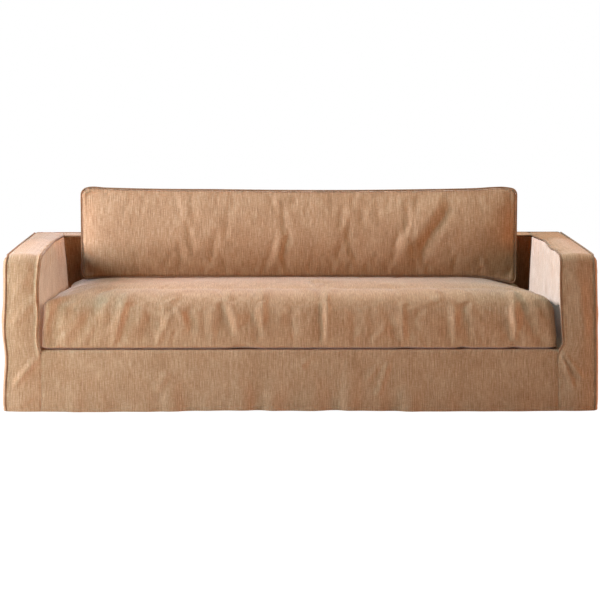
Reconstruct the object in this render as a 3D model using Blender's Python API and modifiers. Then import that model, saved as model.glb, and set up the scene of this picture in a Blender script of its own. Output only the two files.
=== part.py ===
"""Fitted linen slipcover for a long bench sofa, with its loose seat cushion and back cushion.

The cover is a hollow shell of sewn panels, open at the floor. It is as high at the arms as at the low back, and its
hem reaches the floor all round. Round piping lies in the seams of the arms and the rear panel. Each panel is a grid
stretched between the seams that bound it, billowed and folded by a few short tables, and then given its thickness.

Metres, +Z up. The sofa faces -Y, +X is to the right of someone who looks at its front, and the origin is on the
floor under the middle of the cover.
"""

import math

import bmesh
import bpy
from mathutils import Matrix, Vector

# Driving sizes of the body cover, along the centre lines of its piping
HALF_WIDTH = 1.142
HALF_DEPTH = 0.500
ARM_HEIGHT = 0.612
ARM_WIDTH = 0.134
BACK_THICKNESS = 0.146
ARM_ROLL = 0.028  # radius of the soft roll from the front of an arm to its top
DECK_TOP = 0.2440  # the flat panel that the seat cushion lies on
SKIRT_ROLL = 0.012  # radius at the upper edge of the base front

# Cloth and sewing
CLOTH = 0.0025
PIPE_RADIUS = 0.0035
SEAM_GAP = 0.0003
PIPED_EDGE = PIPE_RADIUS + SEAM_GAP  # from a piping's centre line to the edge of the cloth beside it
BUTTED_EDGE = 0.0002  # from a plain seam's line to the edge of the cloth beside it

# Heights and depths that follow
INNER_X = HALF_WIDTH - ARM_WIDTH
FRONT_Y = -HALF_DEPTH
BACK_FRONT_Y = HALF_DEPTH - BACK_THICKNESS
DECK_MIDDLE = DECK_TOP - CLOTH / 2
DECK_EDGE = DECK_TOP + 0.0005  # lower edge of what stands on the deck
PLAIN_SEAM_TOP = 0.222  # the plain seam in the base front ends here, where the inner piping begins
PIPING_FOOT = 0.229

# Rows of the cloth's grids up the front of an arm, and columns back along its top
FRONT_HEIGHTS = (0.0, 0.06, 0.12, 0.18, PLAIN_SEAM_TOP, PIPING_FOOT, DECK_EDGE, 0.29, 0.34, 0.39, 0.44, 0.50, 0.55)
ROLL_ANGLES = (0.0, 22.5, 45.0, 67.5, 90.0)
TOP_DEPTHS = (-0.37, -0.26, -0.15, -0.04, 0.07, 0.16, 0.25, 0.34, BACK_FRONT_Y + PIPED_EDGE, 0.43,
              HALF_DEPTH - PIPED_EDGE)
ROLL_MIDDLE = len(FRONT_HEIGHTS) + ROLL_ANGLES.index(45.0)
HEM_HEIGHTS = FRONT_HEIGHTS[:FRONT_HEIGHTS.index(PLAIN_SEAM_TOP) + 1]

# How far each edge of an arm wanders outwards. Columns: distance from the hem up the front and back along the top,
# left arm, right arm
OUTER_EDGE = (
    (0.00, 0.008, 0.010), (0.03, 0.012, 0.012), (0.12, 0.008, 0.011), (0.21, 0.002, 0.010),
    (0.32, 0.010, 0.007), (0.41, 0.005, 0.005), (0.50, 0.002, 0.002), (0.58, 0.000, -0.001),
    (0.61, -0.004, -0.005), (0.66, 0.000, -0.002), (1.10, 0.001, 0.000), (1.60, -0.001, -0.002),
)
INNER_EDGE = (
    (0.00, 0.004, 0.000), (0.12, 0.002, -0.003), (0.23, 0.004, -0.003), (0.27, 0.010, 0.015),
    (0.31, 0.012, 0.012), (0.38, 0.007, 0.007), (0.45, 0.011, 0.003), (0.51, 0.010, 0.001),
    (0.57, 0.003, 0.001), (0.63, -0.003, 0.001), (0.80, 0.002, 0.006), (0.89, 0.003, -0.002),
    (1.10, 0.007, 0.010), (1.20, 0.008, 0.011), (1.28, 0.005, 0.003), (1.40, -0.002, -0.009),
    (1.46, -0.005, -0.009), (1.60, -0.004, -0.006),
)
# The front top edge of the low back. Columns: place across, shift to the rear, drop
LOW_BACK_EDGE = (
    (-0.99, 0.000, 0.000), (-0.60, 0.005, 0.002), (-0.20, -0.003, 0.004), (0.25, 0.003, 0.003),
    (0.65, -0.003, 0.002), (0.99, 0.000, 0.000),
)
# The inner arm's cloth leans in where it meets the low back. Columns: height, how far at the left arm, at the right
INNER_CORNER = (
    (0.240, 0.023, 0.012), (0.380, 0.020, 0.011), (0.500, 0.013, 0.007), (0.580, 0.005, 0.003),
    (0.612, 0.000, 0.000),
)
# The hem of the front. Columns: place across, height above the floor
FRONT_HEM = (
    (-1.16, 0.004), (-0.95, 0.002), (-0.78, 0.000), (-0.45, 0.003), (-0.24, 0.006), (0.00, 0.003),
    (0.15, 0.005), (0.38, 0.001), (0.60, 0.000), (0.90, 0.001), (1.16, 0.003),
)
# Flutes at the front hem, raised or hollow. Columns: place across, half width, height outwards, reach upwards
FRONT_FLUTES = (
    (-0.877, 0.050, 0.006, 0.14), (-0.710, 0.075, -0.006, 0.12), (-0.600, 0.045, 0.004, 0.16),
    (-0.505, 0.045, 0.006, 0.19), (-0.427, 0.060, -0.007, 0.12), (-0.233, 0.050, 0.007, 0.22),
    (-0.164, 0.045, -0.007, 0.13), (-0.112, 0.035, 0.005, 0.16), (-0.032, 0.055, -0.006, 0.16),
    (0.050, 0.045, 0.004, 0.20), (0.127, 0.050, -0.008, 0.15), (0.193, 0.045, 0.007, 0.26),
    (0.360, 0.055, -0.009, 0.13), (0.430, 0.045, 0.007, 0.12), (0.640, 0.080, -0.004, 0.10),
    (0.850, 0.070, 0.004, 0.14),
)
# Flutes at the hems of the sides and the rear. Columns as above, the place counted from the middle of the panel
SIDE_FLUTES = (
    (-0.36, 0.090, 0.006, 0.26), (-0.20, 0.080, -0.006, 0.20), (-0.05, 0.080, 0.007, 0.30),
    (0.12, 0.090, -0.006, 0.22), (0.28, 0.085, 0.006, 0.26),
)
REAR_FLUTES = (
    (-0.95, 0.11, 0.006, 0.24), (-0.74, 0.11, -0.006, 0.20), (-0.50, 0.12, 0.007, 0.30),
    (-0.24, 0.11, -0.006, 0.22), (0.02, 0.12, 0.007, 0.28), (0.28, 0.12, -0.006, 0.20),
    (0.52, 0.11, 0.006, 0.30), (0.76, 0.12, -0.007, 0.22), (0.97, 0.09, 0.006, 0.26),
)
# Ridges on the fronts. Columns: from across, up, to across, up, half width, height outwards
FRONT_FOLDS = (
    (-1.028, 0.212, -1.118, 0.104, 0.016, 0.0060), (-1.022, 0.452, -1.125, 0.340, 0.030, 0.0045),
    (1.020, 0.222, 1.068, 0.104, 0.015, 0.0060), (1.112, 0.300, 1.075, 0.480, 0.030, 0.0035),
    (-0.004, 0.172, 0.046, 0.236, 0.022, 0.0050), (-0.520, 0.160, -0.560, 0.080, 0.020, 0.0045),
    (0.343, 0.196, 0.300, 0.060, 0.018, 0.0045), (0.300, 0.180, 0.255, 0.120, 0.018, 0.0035),
)
# How far the rear piping wanders outwards. Columns: height, left, right
REAR_EDGE = (
    (0.000, 0.008, 0.006), (0.150, 0.004, 0.009), (0.300, 0.007, 0.003), (0.450, 0.002, 0.006),
    (0.612, -0.001, -0.002),
)
REAR_CORNER = 0.014  # radius at each upper corner of the rear panel
# Hems of the sides and the rear. Columns: place from front to rear, or across, and height above the floor
SIDE_HEM = ((-0.50, 0.004), (-0.25, 0.001), (0.05, 0.003), (0.30, 0.000), (0.50, 0.003))
REAR_HEM = ((-1.15, 0.003), (-0.60, 0.000), (0.00, 0.004), (0.50, 0.001), (1.15, 0.003))
BAND_CROWN = 0.006  # how far an arm's strip stands out midway between its edges
BACK_BAND_CROWN = 0.004
SIDE_BILLOW = 0.011  # how far an outside panel stands out past its piping
REAR_BILLOW = 0.004

# Seat cushion: its box before it is crowned and wrinkled
SEAT_HALF_LENGTH = 0.994
SEAT_SHIFT = -0.004  # the cushion lies a little to the left
SEAT_FRONT, SEAT_REAR = -0.484, 0.338
SEAT_BOTTOM, SEAT_TOP = DECK_TOP + 0.0006, 0.456
SEAT_ROLL = 0.085
SEAT_ROLL_AT_LEFT, SEAT_ROLL_AT_RIGHT = 0.018, 0.036
SEAT_EDGE = 0.014  # radius at the lower edges
SEAT_CROWN = 0.012
SEAT_CROWN_MIDDLE, SEAT_CROWN_REACH = -0.20, 0.29  # the crown's highest line, and how far it reaches from there
SEAT_FRONT_BULGE, SEAT_END_BULGE = 0.007, 0.010
SEAT_TAPER = 0.031  # share by which the ends draw in towards the rear
SEAT_ROWS = (-0.466, -0.440, -0.400, -0.300, -0.100, 0.095, 0.250, 0.310)
SEAT_LEVELS = (0.258, 0.290, 0.330, 0.370, 0.405, 0.435)
SEAT_COLUMN = 0.030  # spacing of the grid across
SEAT_END_COLUMNS = (0.008, 0.018, 0.040)  # distances from each end
# The top falls away towards both ends. Columns: distance from the end, left front, left rear, right front, right rear
SEAT_END_DROP = (
    (0.00, 0.024, 0.044, 0.030, 0.064), (0.03, 0.022, 0.034, 0.016, 0.052), (0.08, 0.015, 0.016, 0.007, 0.036),
    (0.13, 0.009, 0.006, 0.003, 0.020), (0.20, 0.003, 0.000, 0.001, 0.006), (0.28, 0.000, 0.000, 0.000, 0.000),
)
# The front's lower edge lifts off the deck here and there. Columns: place across, half width, lift
SEAT_LIFTS = ((-0.215, 0.090, 0.004), (0.640, 0.035, 0.004), (0.840, 0.040, 0.004), (0.42, 0.06, 0.002))
# Wrinkles on the seat's front and roll. Columns: from across, up, to across, up, half width, height outwards
SEAT_FOLDS = (
    (-0.905, 0.445, -0.900, 0.270, 0.040, 0.0060), (-0.862, 0.450, -0.866, 0.255, 0.030, 0.0050),
    (-0.795, 0.455, -0.800, 0.290, 0.035, -0.0060), (-0.765, 0.455, -0.770, 0.330, 0.035, 0.0050),
    (-0.680, 0.450, -0.725, 0.262, 0.024, 0.0060), (-0.595, 0.450, -0.570, 0.330, 0.026, -0.0080),
    (-0.560, 0.455, -0.540, 0.320, 0.024, -0.0080), (-0.495, 0.390, -0.565, 0.262, 0.022, 0.0080),
    (-0.480, 0.410, -0.430, 0.315, 0.024, 0.0070), (-0.430, 0.420, -0.420, 0.320, 0.030, -0.0060),
    (-0.375, 0.420, -0.365, 0.290, 0.026, -0.0060), (-0.315, 0.450, -0.262, 0.300, 0.026, -0.0090),
    (-0.280, 0.455, -0.240, 0.330, 0.026, 0.0070), (-0.205, 0.440, -0.155, 0.295, 0.026, -0.0090),
    (-0.150, 0.455, -0.145, 0.340, 0.028, 0.0050), (-0.035, 0.430, -0.030, 0.340, 0.038, -0.0080),
    (0.082, 0.460, 0.080, 0.290, 0.020, -0.0080), (0.105, 0.455, 0.103, 0.260, 0.018, 0.0080),
    (0.215, 0.430, 0.220, 0.320, 0.035, -0.0060), (0.335, 0.430, 0.350, 0.340, 0.035, -0.0060),
    (0.345, 0.345, 0.275, 0.262, 0.022, 0.0070), (0.402, 0.455, 0.404, 0.280, 0.018, 0.0050),
    (0.435, 0.400, 0.565, 0.470, 0.024, 0.0080), (0.470, 0.410, 0.450, 0.320, 0.030, -0.0060),
    (0.600, 0.455, 0.603, 0.270, 0.022, 0.0050), (0.665, 0.470, 0.615, 0.430, 0.024, 0.0070),
    (0.650, 0.440, 0.625, 0.330, 0.030, -0.0070), (0.838, 0.470, 0.840, 0.262, 0.024, 0.0110),
    (0.872, 0.450, 0.870, 0.330, 0.022, -0.0070), (0.925, 0.420, 0.930, 0.300, 0.022, 0.0060),
)

# Back cushion: its box before it is crowned
BACK_HALF_LENGTH = 0.901
BACK_FRONT, BACK_REAR = 0.120, 0.338
BACK_BOTTOM, BACK_TOP = 0.4635, 0.822
BACK_CORNER = 0.020  # radius of the piping at each corner of the front face
BACK_CROWN = 0.045
BACK_REAR_CROWN = 0.004
BACK_REAR_DROP = 0.026  # the strip along the top slopes down to the rear
BACK_BOXING_BULGE = 0.008  # of the strip at the sides
BACK_UPPER_BULGE, BACK_LOWER_BULGE = 0.002, 0.005
BACK_COLUMN = 0.050
BACK_ROWS = (0.148, 0.229, 0.310)
BACK_LEVELS = (0.500, 0.555, 0.610, 0.665, 0.720, 0.775)
# The top edge of the back cushion. Columns: place across, rise
BACK_TOP_EDGE = (
    (-0.90, 0.004), (-0.86, 0.012), (-0.80, 0.008), (-0.60, 0.003), (-0.35, 0.001), (-0.10, -0.002),
    (0.20, -0.003), (0.50, 0.000), (0.72, 0.004), (0.84, 0.010), (0.90, 0.003),
)
# The lower edge follows the seat. Columns: place across, rise
BACK_LOWER_EDGE = (
    (-0.90, -0.008), (-0.82, -0.001), (-0.70, 0.000), (0.66, 0.000), (0.74, -0.002), (0.80, -0.008),
    (0.86, -0.020), (0.90, -0.030),
)
# Soft ridges and hollows on the back cushion's front. Columns: from across, up, to across, up, half width, height
BACK_FOLDS = (
    (0.600, 0.790, 0.420, 0.560, 0.060, 0.0080), (0.640, 0.770, 0.490, 0.560, 0.050, -0.0090),
    (-0.068, 0.650, -0.095, 0.550, 0.028, 0.0050), (-0.690, 0.700, -0.480, 0.745, 0.080, -0.0040),
    (0.300, 0.700, 0.200, 0.560, 0.090, -0.0030),
)

LINEN = {  # measured by eye: sRGB colour and roughness
    "cover": ((0.74, 0.58, 0.45), 0.92),
    "cushion": ((0.73, 0.57, 0.43), 0.92),
    "piping": ((0.71, 0.54, 0.41), 0.90),
}


def clear_scene():
    for old in list(bpy.data.objects):
        bpy.data.objects.remove(old, do_unlink=True)


def to_linear(value):
    return value / 12.92 if value <= 0.04045 else ((value + 0.055) / 1.055) ** 2.4


def linen(finish):
    """One woven linen finish, made on its first use."""
    name = f"linen_{finish}"
    if name in bpy.data.materials:
        return bpy.data.materials[name]
    colour, roughness = LINEN[finish]
    material = bpy.data.materials.new(name)
    material.use_nodes = True
    shader = material.node_tree.nodes["Principled BSDF"]
    shader.inputs["Base Color"].default_value = (*map(to_linear, colour), 1.0)
    shader.inputs["Roughness"].default_value = roughness
    shader.inputs["Metallic"].default_value = 0.0
    return material


def read_table(rows, place, column=1):
    """A smooth curve through one column of a short table, level past both ends."""
    if place <= rows[0][0]:
        return rows[0][column]
    if place >= rows[-1][0]:
        return rows[-1][column]
    i = next(k for k in range(len(rows) - 1) if rows[k + 1][0] >= place)

    def slope(k):
        before, after = rows[max(k - 1, 0)], rows[min(k + 1, len(rows) - 1)]
        return (after[column] - before[column]) / (after[0] - before[0])

    step = rows[i + 1][0] - rows[i][0]
    t = (place - rows[i][0]) / step
    return (
        rows[i][column] * (2 * t**3 - 3 * t**2 + 1)
        + rows[i + 1][column] * (3 * t**2 - 2 * t**3)
        + step * slope(i) * (t**3 - 2 * t**2 + t)
        + step * slope(i + 1) * (t**3 - t**2)
    )


def ease(t):
    """0 up to t = 0, 1 from t = 1, and smooth between."""
    t = min(max(t, 0.0), 1.0)
    return t * t * (3 - 2 * t)


def bump(distance, half_width):
    """1 at no distance, 0 from half_width on, and rounded between."""
    t = abs(distance) / half_width
    return (1 - t * t) ** 2 if t < 1 else 0.0


def fold_height(across, up, folds):
    """Height of a set of soft ridges, each of which fades out at its two ends."""
    total = 0.0
    for x0, z0, x1, z1, half_width, height in folds:
        run, rise = x1 - x0, z1 - z0
        length = math.hypot(run, rise)
        along = ((across - x0) * run + (up - z0) * rise) / length**2
        aside = ((across - x0) * rise - (up - z0) * run) / length
        total += height * bump(aside, half_width) * ease((0.62 - abs(along - 0.5)) / 0.25)
    return total


def flute_height(across, up, flutes):
    """Height of the flutes that widen and deepen down to a hem."""
    total = 0.0
    for place, half_width, height, reach in flutes:
        total += height * bump(across - place, half_width) * ease(1 - up / reach)
    return total


# Seams of the arms


def arm_profile():
    """Stations up an arm's front, over its roll and back: (y, z, direction inwards in y and z, run from the hem)."""
    stations = [(FRONT_Y, z, (1.0, 0.0), z) for z in FRONT_HEIGHTS]
    middle_y, middle_z = FRONT_Y + ARM_ROLL, ARM_HEIGHT - ARM_ROLL
    for angle in map(math.radians, ROLL_ANGLES):
        place = (middle_y - ARM_ROLL * math.cos(angle), middle_z + ARM_ROLL * math.sin(angle))
        stations.append((*place, (math.cos(angle), -math.sin(angle)), middle_z + ARM_ROLL * angle))
    over_roll = middle_z + ARM_ROLL * math.pi / 2 - middle_y
    stations += [(y, ARM_HEIGHT, (0.0, -1.0), over_roll + y) for y in TOP_DEPTHS]
    return stations


def arm_x(side, edge, run):
    """Distance from the middle of the sofa to an edge of the arm on side -1 or 1."""
    base, rows = (HALF_WIDTH, OUTER_EDGE) if edge == "outer" else (INNER_X, INNER_EDGE)
    return base + read_table(rows, run, 1 if side < 0 else 2)


def hem_height(x):
    return read_table(FRONT_HEM, x)


def lifted(z, x):
    """The height z of a row near the front hem, raised by the hem's own waves."""
    return z + hem_height(x) * (1 - ease(z / PLAIN_SEAM_TOP))


def low_back_edge(x):
    """(y, z) of the front top edge of the low back."""
    return (BACK_FRONT_Y + read_table(LOW_BACK_EDGE, x, 1), ARM_HEIGHT - read_table(LOW_BACK_EDGE, x, 2))


def low_back_columns():
    """Places across the low back that its pieces share, each with a whole number of steps between the arms."""
    steps, half = 14, INNER_X - 0.020
    return [half * (2 * i / steps - 1) for i in range(steps + 1)]


# Making objects


def add_object(name, data, finish, origin):
    """Links a shape given in the cover's frame, with the object's own origin at a natural place on it."""
    data.transform(Matrix.Translation(-Vector(origin)))
    made = bpy.data.objects.new(name, data)
    made.location = origin
    made.parent = ROOT
    data.materials.append(linen(finish))
    PARTS.objects.link(made)
    return made


def add_sheet(name, grid, finish, origin):
    """A cloth sheet through a grid of points, given its thickness half to each side."""
    rows, columns = len(grid) - 1, len(grid[0]) - 1
    shape = bmesh.new()
    bmesh.ops.create_grid(shape, x_segments=columns, y_segments=rows, size=0.5)
    for vertex in shape.verts:
        column = round((vertex.co.x + 0.5) * columns)
        row = round((vertex.co.y + 0.5) * rows)
        vertex.co = grid[row][column]
    mesh = bpy.data.meshes.new(name)
    shape.to_mesh(mesh)
    shape.free()
    mesh.shade_smooth()
    sheet = add_object(name, mesh, finish, origin)
    wall = sheet.modifiers.new("Cloth thickness", "SOLIDIFY")
    wall.thickness = CLOTH
    wall.offset = 0.0
    wall.use_even_offset = True
    return sheet


def add_piping(name, points, origin, closed=False):
    """A round cord covered in cloth, through the given points."""
    curve = bpy.data.curves.new(name, "CURVE")
    curve.dimensions = "3D"
    curve.bevel_depth = PIPE_RADIUS
    curve.bevel_resolution = 1
    curve.use_fill_caps = True
    spline = curve.splines.new("POLY")
    spline.points.add(len(points) - 1)
    for point, place in zip(spline.points, points):
        point.co = (*place, 1.0)
    spline.use_cyclic_u = closed
    spline.use_smooth = True
    return add_object(name, curve, "piping", origin)


def add_cushion(name, lines, shape_point, origin):
    """A box cut along three sets of planes, each of its points then moved to its place on the filled form."""
    shape = bmesh.new()
    bmesh.ops.create_cube(shape, size=1.0)
    for vertex in shape.verts:
        vertex.co = [places[0] if part < 0 else places[-1] for part, places in zip(vertex.co, lines)]
    for axis, places in enumerate(lines):
        normal = Vector([float(axis == k) for k in range(3)])
        for place in places[1:-1]:
            everything = shape.verts[:] + shape.edges[:] + shape.faces[:]
            bmesh.ops.bisect_plane(shape, geom=everything, plane_co=normal * place, plane_no=normal)
    for vertex in shape.verts:
        vertex.co = shape_point(vertex.co.copy())
    mesh = bpy.data.meshes.new(name)
    shape.to_mesh(mesh)
    shape.free()
    mesh.shade_smooth()
    return add_object(name, mesh, "cushion", origin)


def stretch(bottom, top, first, last):
    """Grid of points stretched between four edges. bottom and top run one way, first and last run upwards."""
    columns, rows = len(bottom) - 1, len(first) - 1
    grid = []
    for j in range(rows + 1):
        v = j / rows
        row = []
        for i in range(columns + 1):
            u = i / columns
            across = first[j].lerp(last[j], u)
            upwards = bottom[i].lerp(top[i], v)
            corners = bottom[0].lerp(bottom[-1], u).lerp(top[0].lerp(top[-1], u), v)
            row.append(across + upwards - corners)
        grid.append(row)
    return grid


def mix(a, b, t):
    return a + (b - a) * t


# Panels of the body cover


def arm_band(side):
    """The strip up the front of an arm, over its roll and back along its top, from the outer to the inner edge."""
    columns = 6
    grid = []
    for y, z, inwards, run in arm_profile():
        plain = y == FRONT_Y and z <= PLAIN_SEAM_TOP
        outer = arm_x(side, "outer", run) - PIPED_EDGE
        inner = arm_x(side, "inner", run) + (BUTTED_EDGE if plain else PIPED_EDGE)
        row = []
        for i in range(columns + 1):
            x = side * mix(outer, inner, i / columns)
            across = 2 * i / columns - 1
            on_front = ease((1 - abs(across)) / 0.3) * ease((FRONT_Y + 0.05 - y) / 0.04)
            stand_out = BAND_CROWN * bump(across, 1.0) * ease((HALF_DEPTH - y) / 0.06)
            stand_out += fold_height(x, z, FRONT_FOLDS) * on_front
            height = lifted(z, x) if y == FRONT_Y else z
            row.append(Vector((x, y - inwards[0] * stand_out, height - inwards[1] * stand_out)))
        grid.append(row)
    return grid


def rear_heights(count):
    """As many heights up a rear edge as the front edge of an arm has rows."""
    top = ARM_HEIGHT - PIPED_EDGE
    left = count - len(FRONT_HEIGHTS)
    return [*FRONT_HEIGHTS, *(mix(FRONT_HEIGHTS[-1], top, (k + 1) / left) for k in range(left))]


def rear_x(side, z):
    return HALF_WIDTH + read_table(REAR_EDGE, z, 1 if side < 0 else 2)


def outside_arm(side):
    """The outer side panel, bounded by the arm's outer piping, the rear piping and the hem."""
    stations = arm_profile()

    def beside_piping(station):
        y, z, inwards, run = station
        x = side * arm_x(side, "outer", run)
        height = lifted(z, x) if y == FRONT_Y else z
        return Vector((x, y + inwards[0] * PIPED_EDGE, height + inwards[1] * PIPED_EDGE))

    front = [beside_piping(s) for s in stations[:ROLL_MIDDLE + 1]]
    top = [beside_piping(s) for s in stations[ROLL_MIDDLE:]]
    rear_y = HALF_DEPTH - PIPED_EDGE
    rear = [Vector((side * rear_x(side, z), rear_y, z)) for z in rear_heights(len(front))]
    rear[0].z = read_table(SIDE_HEM, rear_y)
    rear[-1] = top[-1].copy()
    bottom = [front[0].lerp(rear[0], i / (len(top) - 1)) for i in range(len(top))]
    for point in bottom:
        point.z = read_table(SIDE_HEM, point.y)
    bottom[0], bottom[-1] = front[0].copy(), rear[0].copy()
    grid = stretch(bottom, top, front, rear)
    for row in grid[:-1]:
        for point in row[1:-1]:
            from_edges = min(point.y - FRONT_Y, HALF_DEPTH - point.y, ARM_HEIGHT - point.z) - PIPED_EDGE
            free = ease(from_edges / 0.045)
            point.x += side * free * (SIDE_BILLOW + flute_height(point.y, point.z, SIDE_FLUTES))
    return grid


def inner_rear_x(side, z):
    """Where an inside arm panel stands at its rear edge."""
    run = arm_profile()[-3][3]
    return arm_x(side, "inner", run) - read_table(INNER_CORNER, z, 1 if side < 0 else 2)


def inner_foot_x(side, y):
    """Where an inside arm panel stands on the deck."""
    return mix(arm_x(side, "inner", DECK_EDGE), inner_rear_x(side, DECK_EDGE), ease((y + 0.05) / 0.40))


def inside_arm(side):
    """The panel between an arm's inner piping and the deck, which leans in where it meets the low back."""
    stations = arm_profile()
    foot = FRONT_HEIGHTS.index(DECK_EDGE)
    rear_y = BACK_FRONT_Y + CLOTH / 2

    def beside_piping(station):
        y, z, inwards, run = station
        x = side * arm_x(side, "inner", run)
        return Vector((x, y + inwards[0] * PIPED_EDGE, z + inwards[1] * PIPED_EDGE))

    front = [beside_piping(s) for s in stations[foot:ROLL_MIDDLE + 1]]
    top = [beside_piping(s) for s in stations[ROLL_MIDDLE:-3]]
    top.append(Vector((side * inner_rear_x(side, ARM_HEIGHT), rear_y, ARM_HEIGHT - PIPED_EDGE)))
    rear = []
    for j in range(len(front)):
        z = mix(DECK_EDGE, ARM_HEIGHT - PIPED_EDGE, j / (len(front) - 1))
        rear.append(Vector((side * inner_rear_x(side, z), rear_y, z)))
    rear[-1] = top[-1].copy()
    bottom = []
    for i in range(len(top)):
        y = mix(front[0].y, rear_y, i / (len(top) - 1))
        bottom.append(Vector((side * inner_foot_x(side, y), y, DECK_EDGE)))
    bottom[0], bottom[-1] = front[0].copy(), rear[0].copy()
    return stretch(bottom, top, front, rear)


def inside_back():
    """The front face of the low back, between the two inside arm panels."""
    columns = low_back_columns()
    rows = ROLL_MIDDLE - FRONT_HEIGHTS.index(DECK_EDGE)  # as many as the rear edges of the inside arm panels have
    grid = []
    for j in range(rows + 1):
        row = []
        for i, x in enumerate(columns):
            y, edge_z = low_back_edge(x)
            z = mix(DECK_EDGE, edge_z - PIPED_EDGE, j / rows)
            if i in (0, len(columns) - 1):
                side = -1 if i == 0 else 1
                x = side * (inner_rear_x(side, z) - CLOTH / 2 - SEAM_GAP)
            row.append(Vector((x, y, z)))
        grid.append(row)
    return grid


def back_band():
    """The top strip of the low back, between the inner piping and the rear piping."""
    columns = low_back_columns()
    stations = arm_profile()[-3:]
    first_y, last_y = stations[0][0], stations[-1][0]
    grid = []
    for rear_y, _, _, run in stations:
        t = (rear_y - first_y) / (last_y - first_y)
        row = []
        for i, x in enumerate(columns):
            y, edge_z = low_back_edge(x)
            if i in (0, len(columns) - 1):
                side = -1 if i == 0 else 1
                x = side * (arm_x(side, "inner", run) + PIPED_EDGE - 2 * BUTTED_EDGE)
            inset = ease(min(i, len(columns) - 1 - i))
            z = mix(edge_z, ARM_HEIGHT, t) + BACK_BAND_CROWN * bump(2 * t - 1, 1.0) * inset
            row.append(Vector((x, mix(y + PIPED_EDGE, last_y, t), z)))
        grid.append(row)
    return grid


def deck():
    """The flat panel under the seat cushion, from the rolled edge of the base front to the low back."""
    first_y, last_y = FRONT_Y + SKIRT_ROLL + 2 * SEAM_GAP, BACK_FRONT_Y + CLOTH
    rows, columns = 6, 8
    grid = []
    for j in range(rows + 1):
        y = mix(first_y, last_y, j / rows)
        left, right = -inner_foot_x(-1, y), inner_foot_x(1, y)
        grid.append([Vector((mix(left, right, i / columns), y, DECK_MIDDLE)) for i in range(columns + 1)])
    return grid


def front_skirt():
    """The base front between the two plain seams, with its fluted hem and its rolled upper edge."""
    columns = 56
    roll_y, roll_z = FRONT_Y + SKIRT_ROLL, DECK_MIDDLE - SKIRT_ROLL
    profile = [(FRONT_Y, z) for z in (*HEM_HEIGHTS, roll_z)]
    for angle in (math.radians(45), math.radians(90)):
        profile.append((roll_y - SKIRT_ROLL * math.cos(angle), roll_z + SKIRT_ROLL * math.sin(angle)))
    grid = []
    for y, z in profile:
        edge = BUTTED_EDGE if z <= PLAIN_SEAM_TOP else PIPED_EDGE
        left, right = -(arm_x(-1, "inner", z) - edge), arm_x(1, "inner", z) - edge
        row = []
        for i in range(columns + 1):
            x = mix(left, right, i / columns)
            free = ease(min(x - left, right - x) / 0.05)
            on_face = ease((PLAIN_SEAM_TOP + 0.015 - z) / 0.06)
            stand_out = flute_height(x, z, FRONT_FLUTES) + fold_height(x, z, FRONT_FOLDS) * on_face
            row.append(Vector((x, y - free * stand_out, lifted(z, x))))
        grid.append(row)
    return grid


def rear_profile():
    """Stations round the rear panel, from one foot over the top to the other: (x, z, direction inwards in x and z)."""
    low = [z for z in FRONT_HEIGHTS if z not in (PLAIN_SEAM_TOP, PIPING_FOOT)]
    corner_z = ARM_HEIGHT - REAR_CORNER
    slant = math.sqrt(0.5)
    half = {}
    for side in (-1, 1):
        corner_x = side * (rear_x(side, ARM_HEIGHT) - REAR_CORNER)
        stations = [(side * rear_x(side, z), z, (-side, 0.0)) for z in (*low, corner_z)]
        middle = (corner_x + side * REAR_CORNER * slant, corner_z + REAR_CORNER * slant)
        stations.append((*middle, (-side * slant, -slant)))
        stations.append((corner_x, ARM_HEIGHT, (0.0, -1.0)))
        half[side] = stations
    steps = 18
    first, last = half[-1][-1][0], half[1][-1][0]
    across = [(mix(first, last, k / steps), ARM_HEIGHT, (0.0, -1.0)) for k in range(1, steps)]
    return half[-1] + across + half[1][::-1]


def outside_back():
    """The rear panel, inside its piping and down to its hem."""
    places = [Vector((x + d[0] * PIPED_EDGE, HALF_DEPTH, z + d[1] * PIPED_EDGE)) for x, z, d in rear_profile()]
    rows = next(i for i, station in enumerate(rear_profile()) if station[2][1] < 0)
    first, top, last = places[:rows + 1], places[rows:-rows], places[-rows - 1:][::-1]
    first[0].z, last[0].z = read_table(REAR_HEM, first[0].x), read_table(REAR_HEM, last[0].x)
    count = len(top) - 1
    bottom = [first[0].lerp(last[0], i / count) for i in range(count + 1)]
    for point in bottom:
        point.z = read_table(REAR_HEM, point.x)
    grid = stretch(bottom, top, first, last)
    for row in grid[:-1]:
        for point in row[1:-1]:
            from_edges = min(HALF_WIDTH - abs(point.x), ARM_HEIGHT - point.z) - PIPED_EDGE
            point.y += ease(from_edges / 0.06) * (REAR_BILLOW + flute_height(point.x, point.z, REAR_FLUTES))
    return grid


# Piping of the body cover


def outer_piping(side):
    points = []
    for y, z, _, run in arm_profile()[:-1]:
        x = side * arm_x(side, "outer", run)
        points.append(Vector((x, y, lifted(z, x) if y == FRONT_Y else z)))
    points[0].z += 0.002
    last = points[-1]
    run = arm_profile()[-1][3]
    points.append(Vector((side * arm_x(side, "outer", run), HALF_DEPTH - 2 * PIPED_EDGE, last.z)))
    return points


def inner_piping():
    """One run: up the left arm from beside the seat, back, across the low back, and down again on the right arm."""
    runs = {}
    for side in (-1, 1):
        points = []
        for y, z, _, run in arm_profile()[FRONT_HEIGHTS.index(PIPING_FOOT):-3]:
            points.append(Vector((side * arm_x(side, "inner", run), y, z)))
        corner = points[-1].copy()
        corner.x -= side * 0.004
        corner.y = BACK_FRONT_Y - 0.004
        runs[side] = [*points, corner]
    across = [Vector((x, *low_back_edge(x))) for x in low_back_columns()]
    return runs[-1] + across + runs[1][::-1]


def rear_piping():
    points = [Vector((x, HALF_DEPTH, z)) for x, z, _ in rear_profile()]
    for foot in (points[0], points[-1]):
        foot.z += 0.005
    return points


# Cushions


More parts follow.
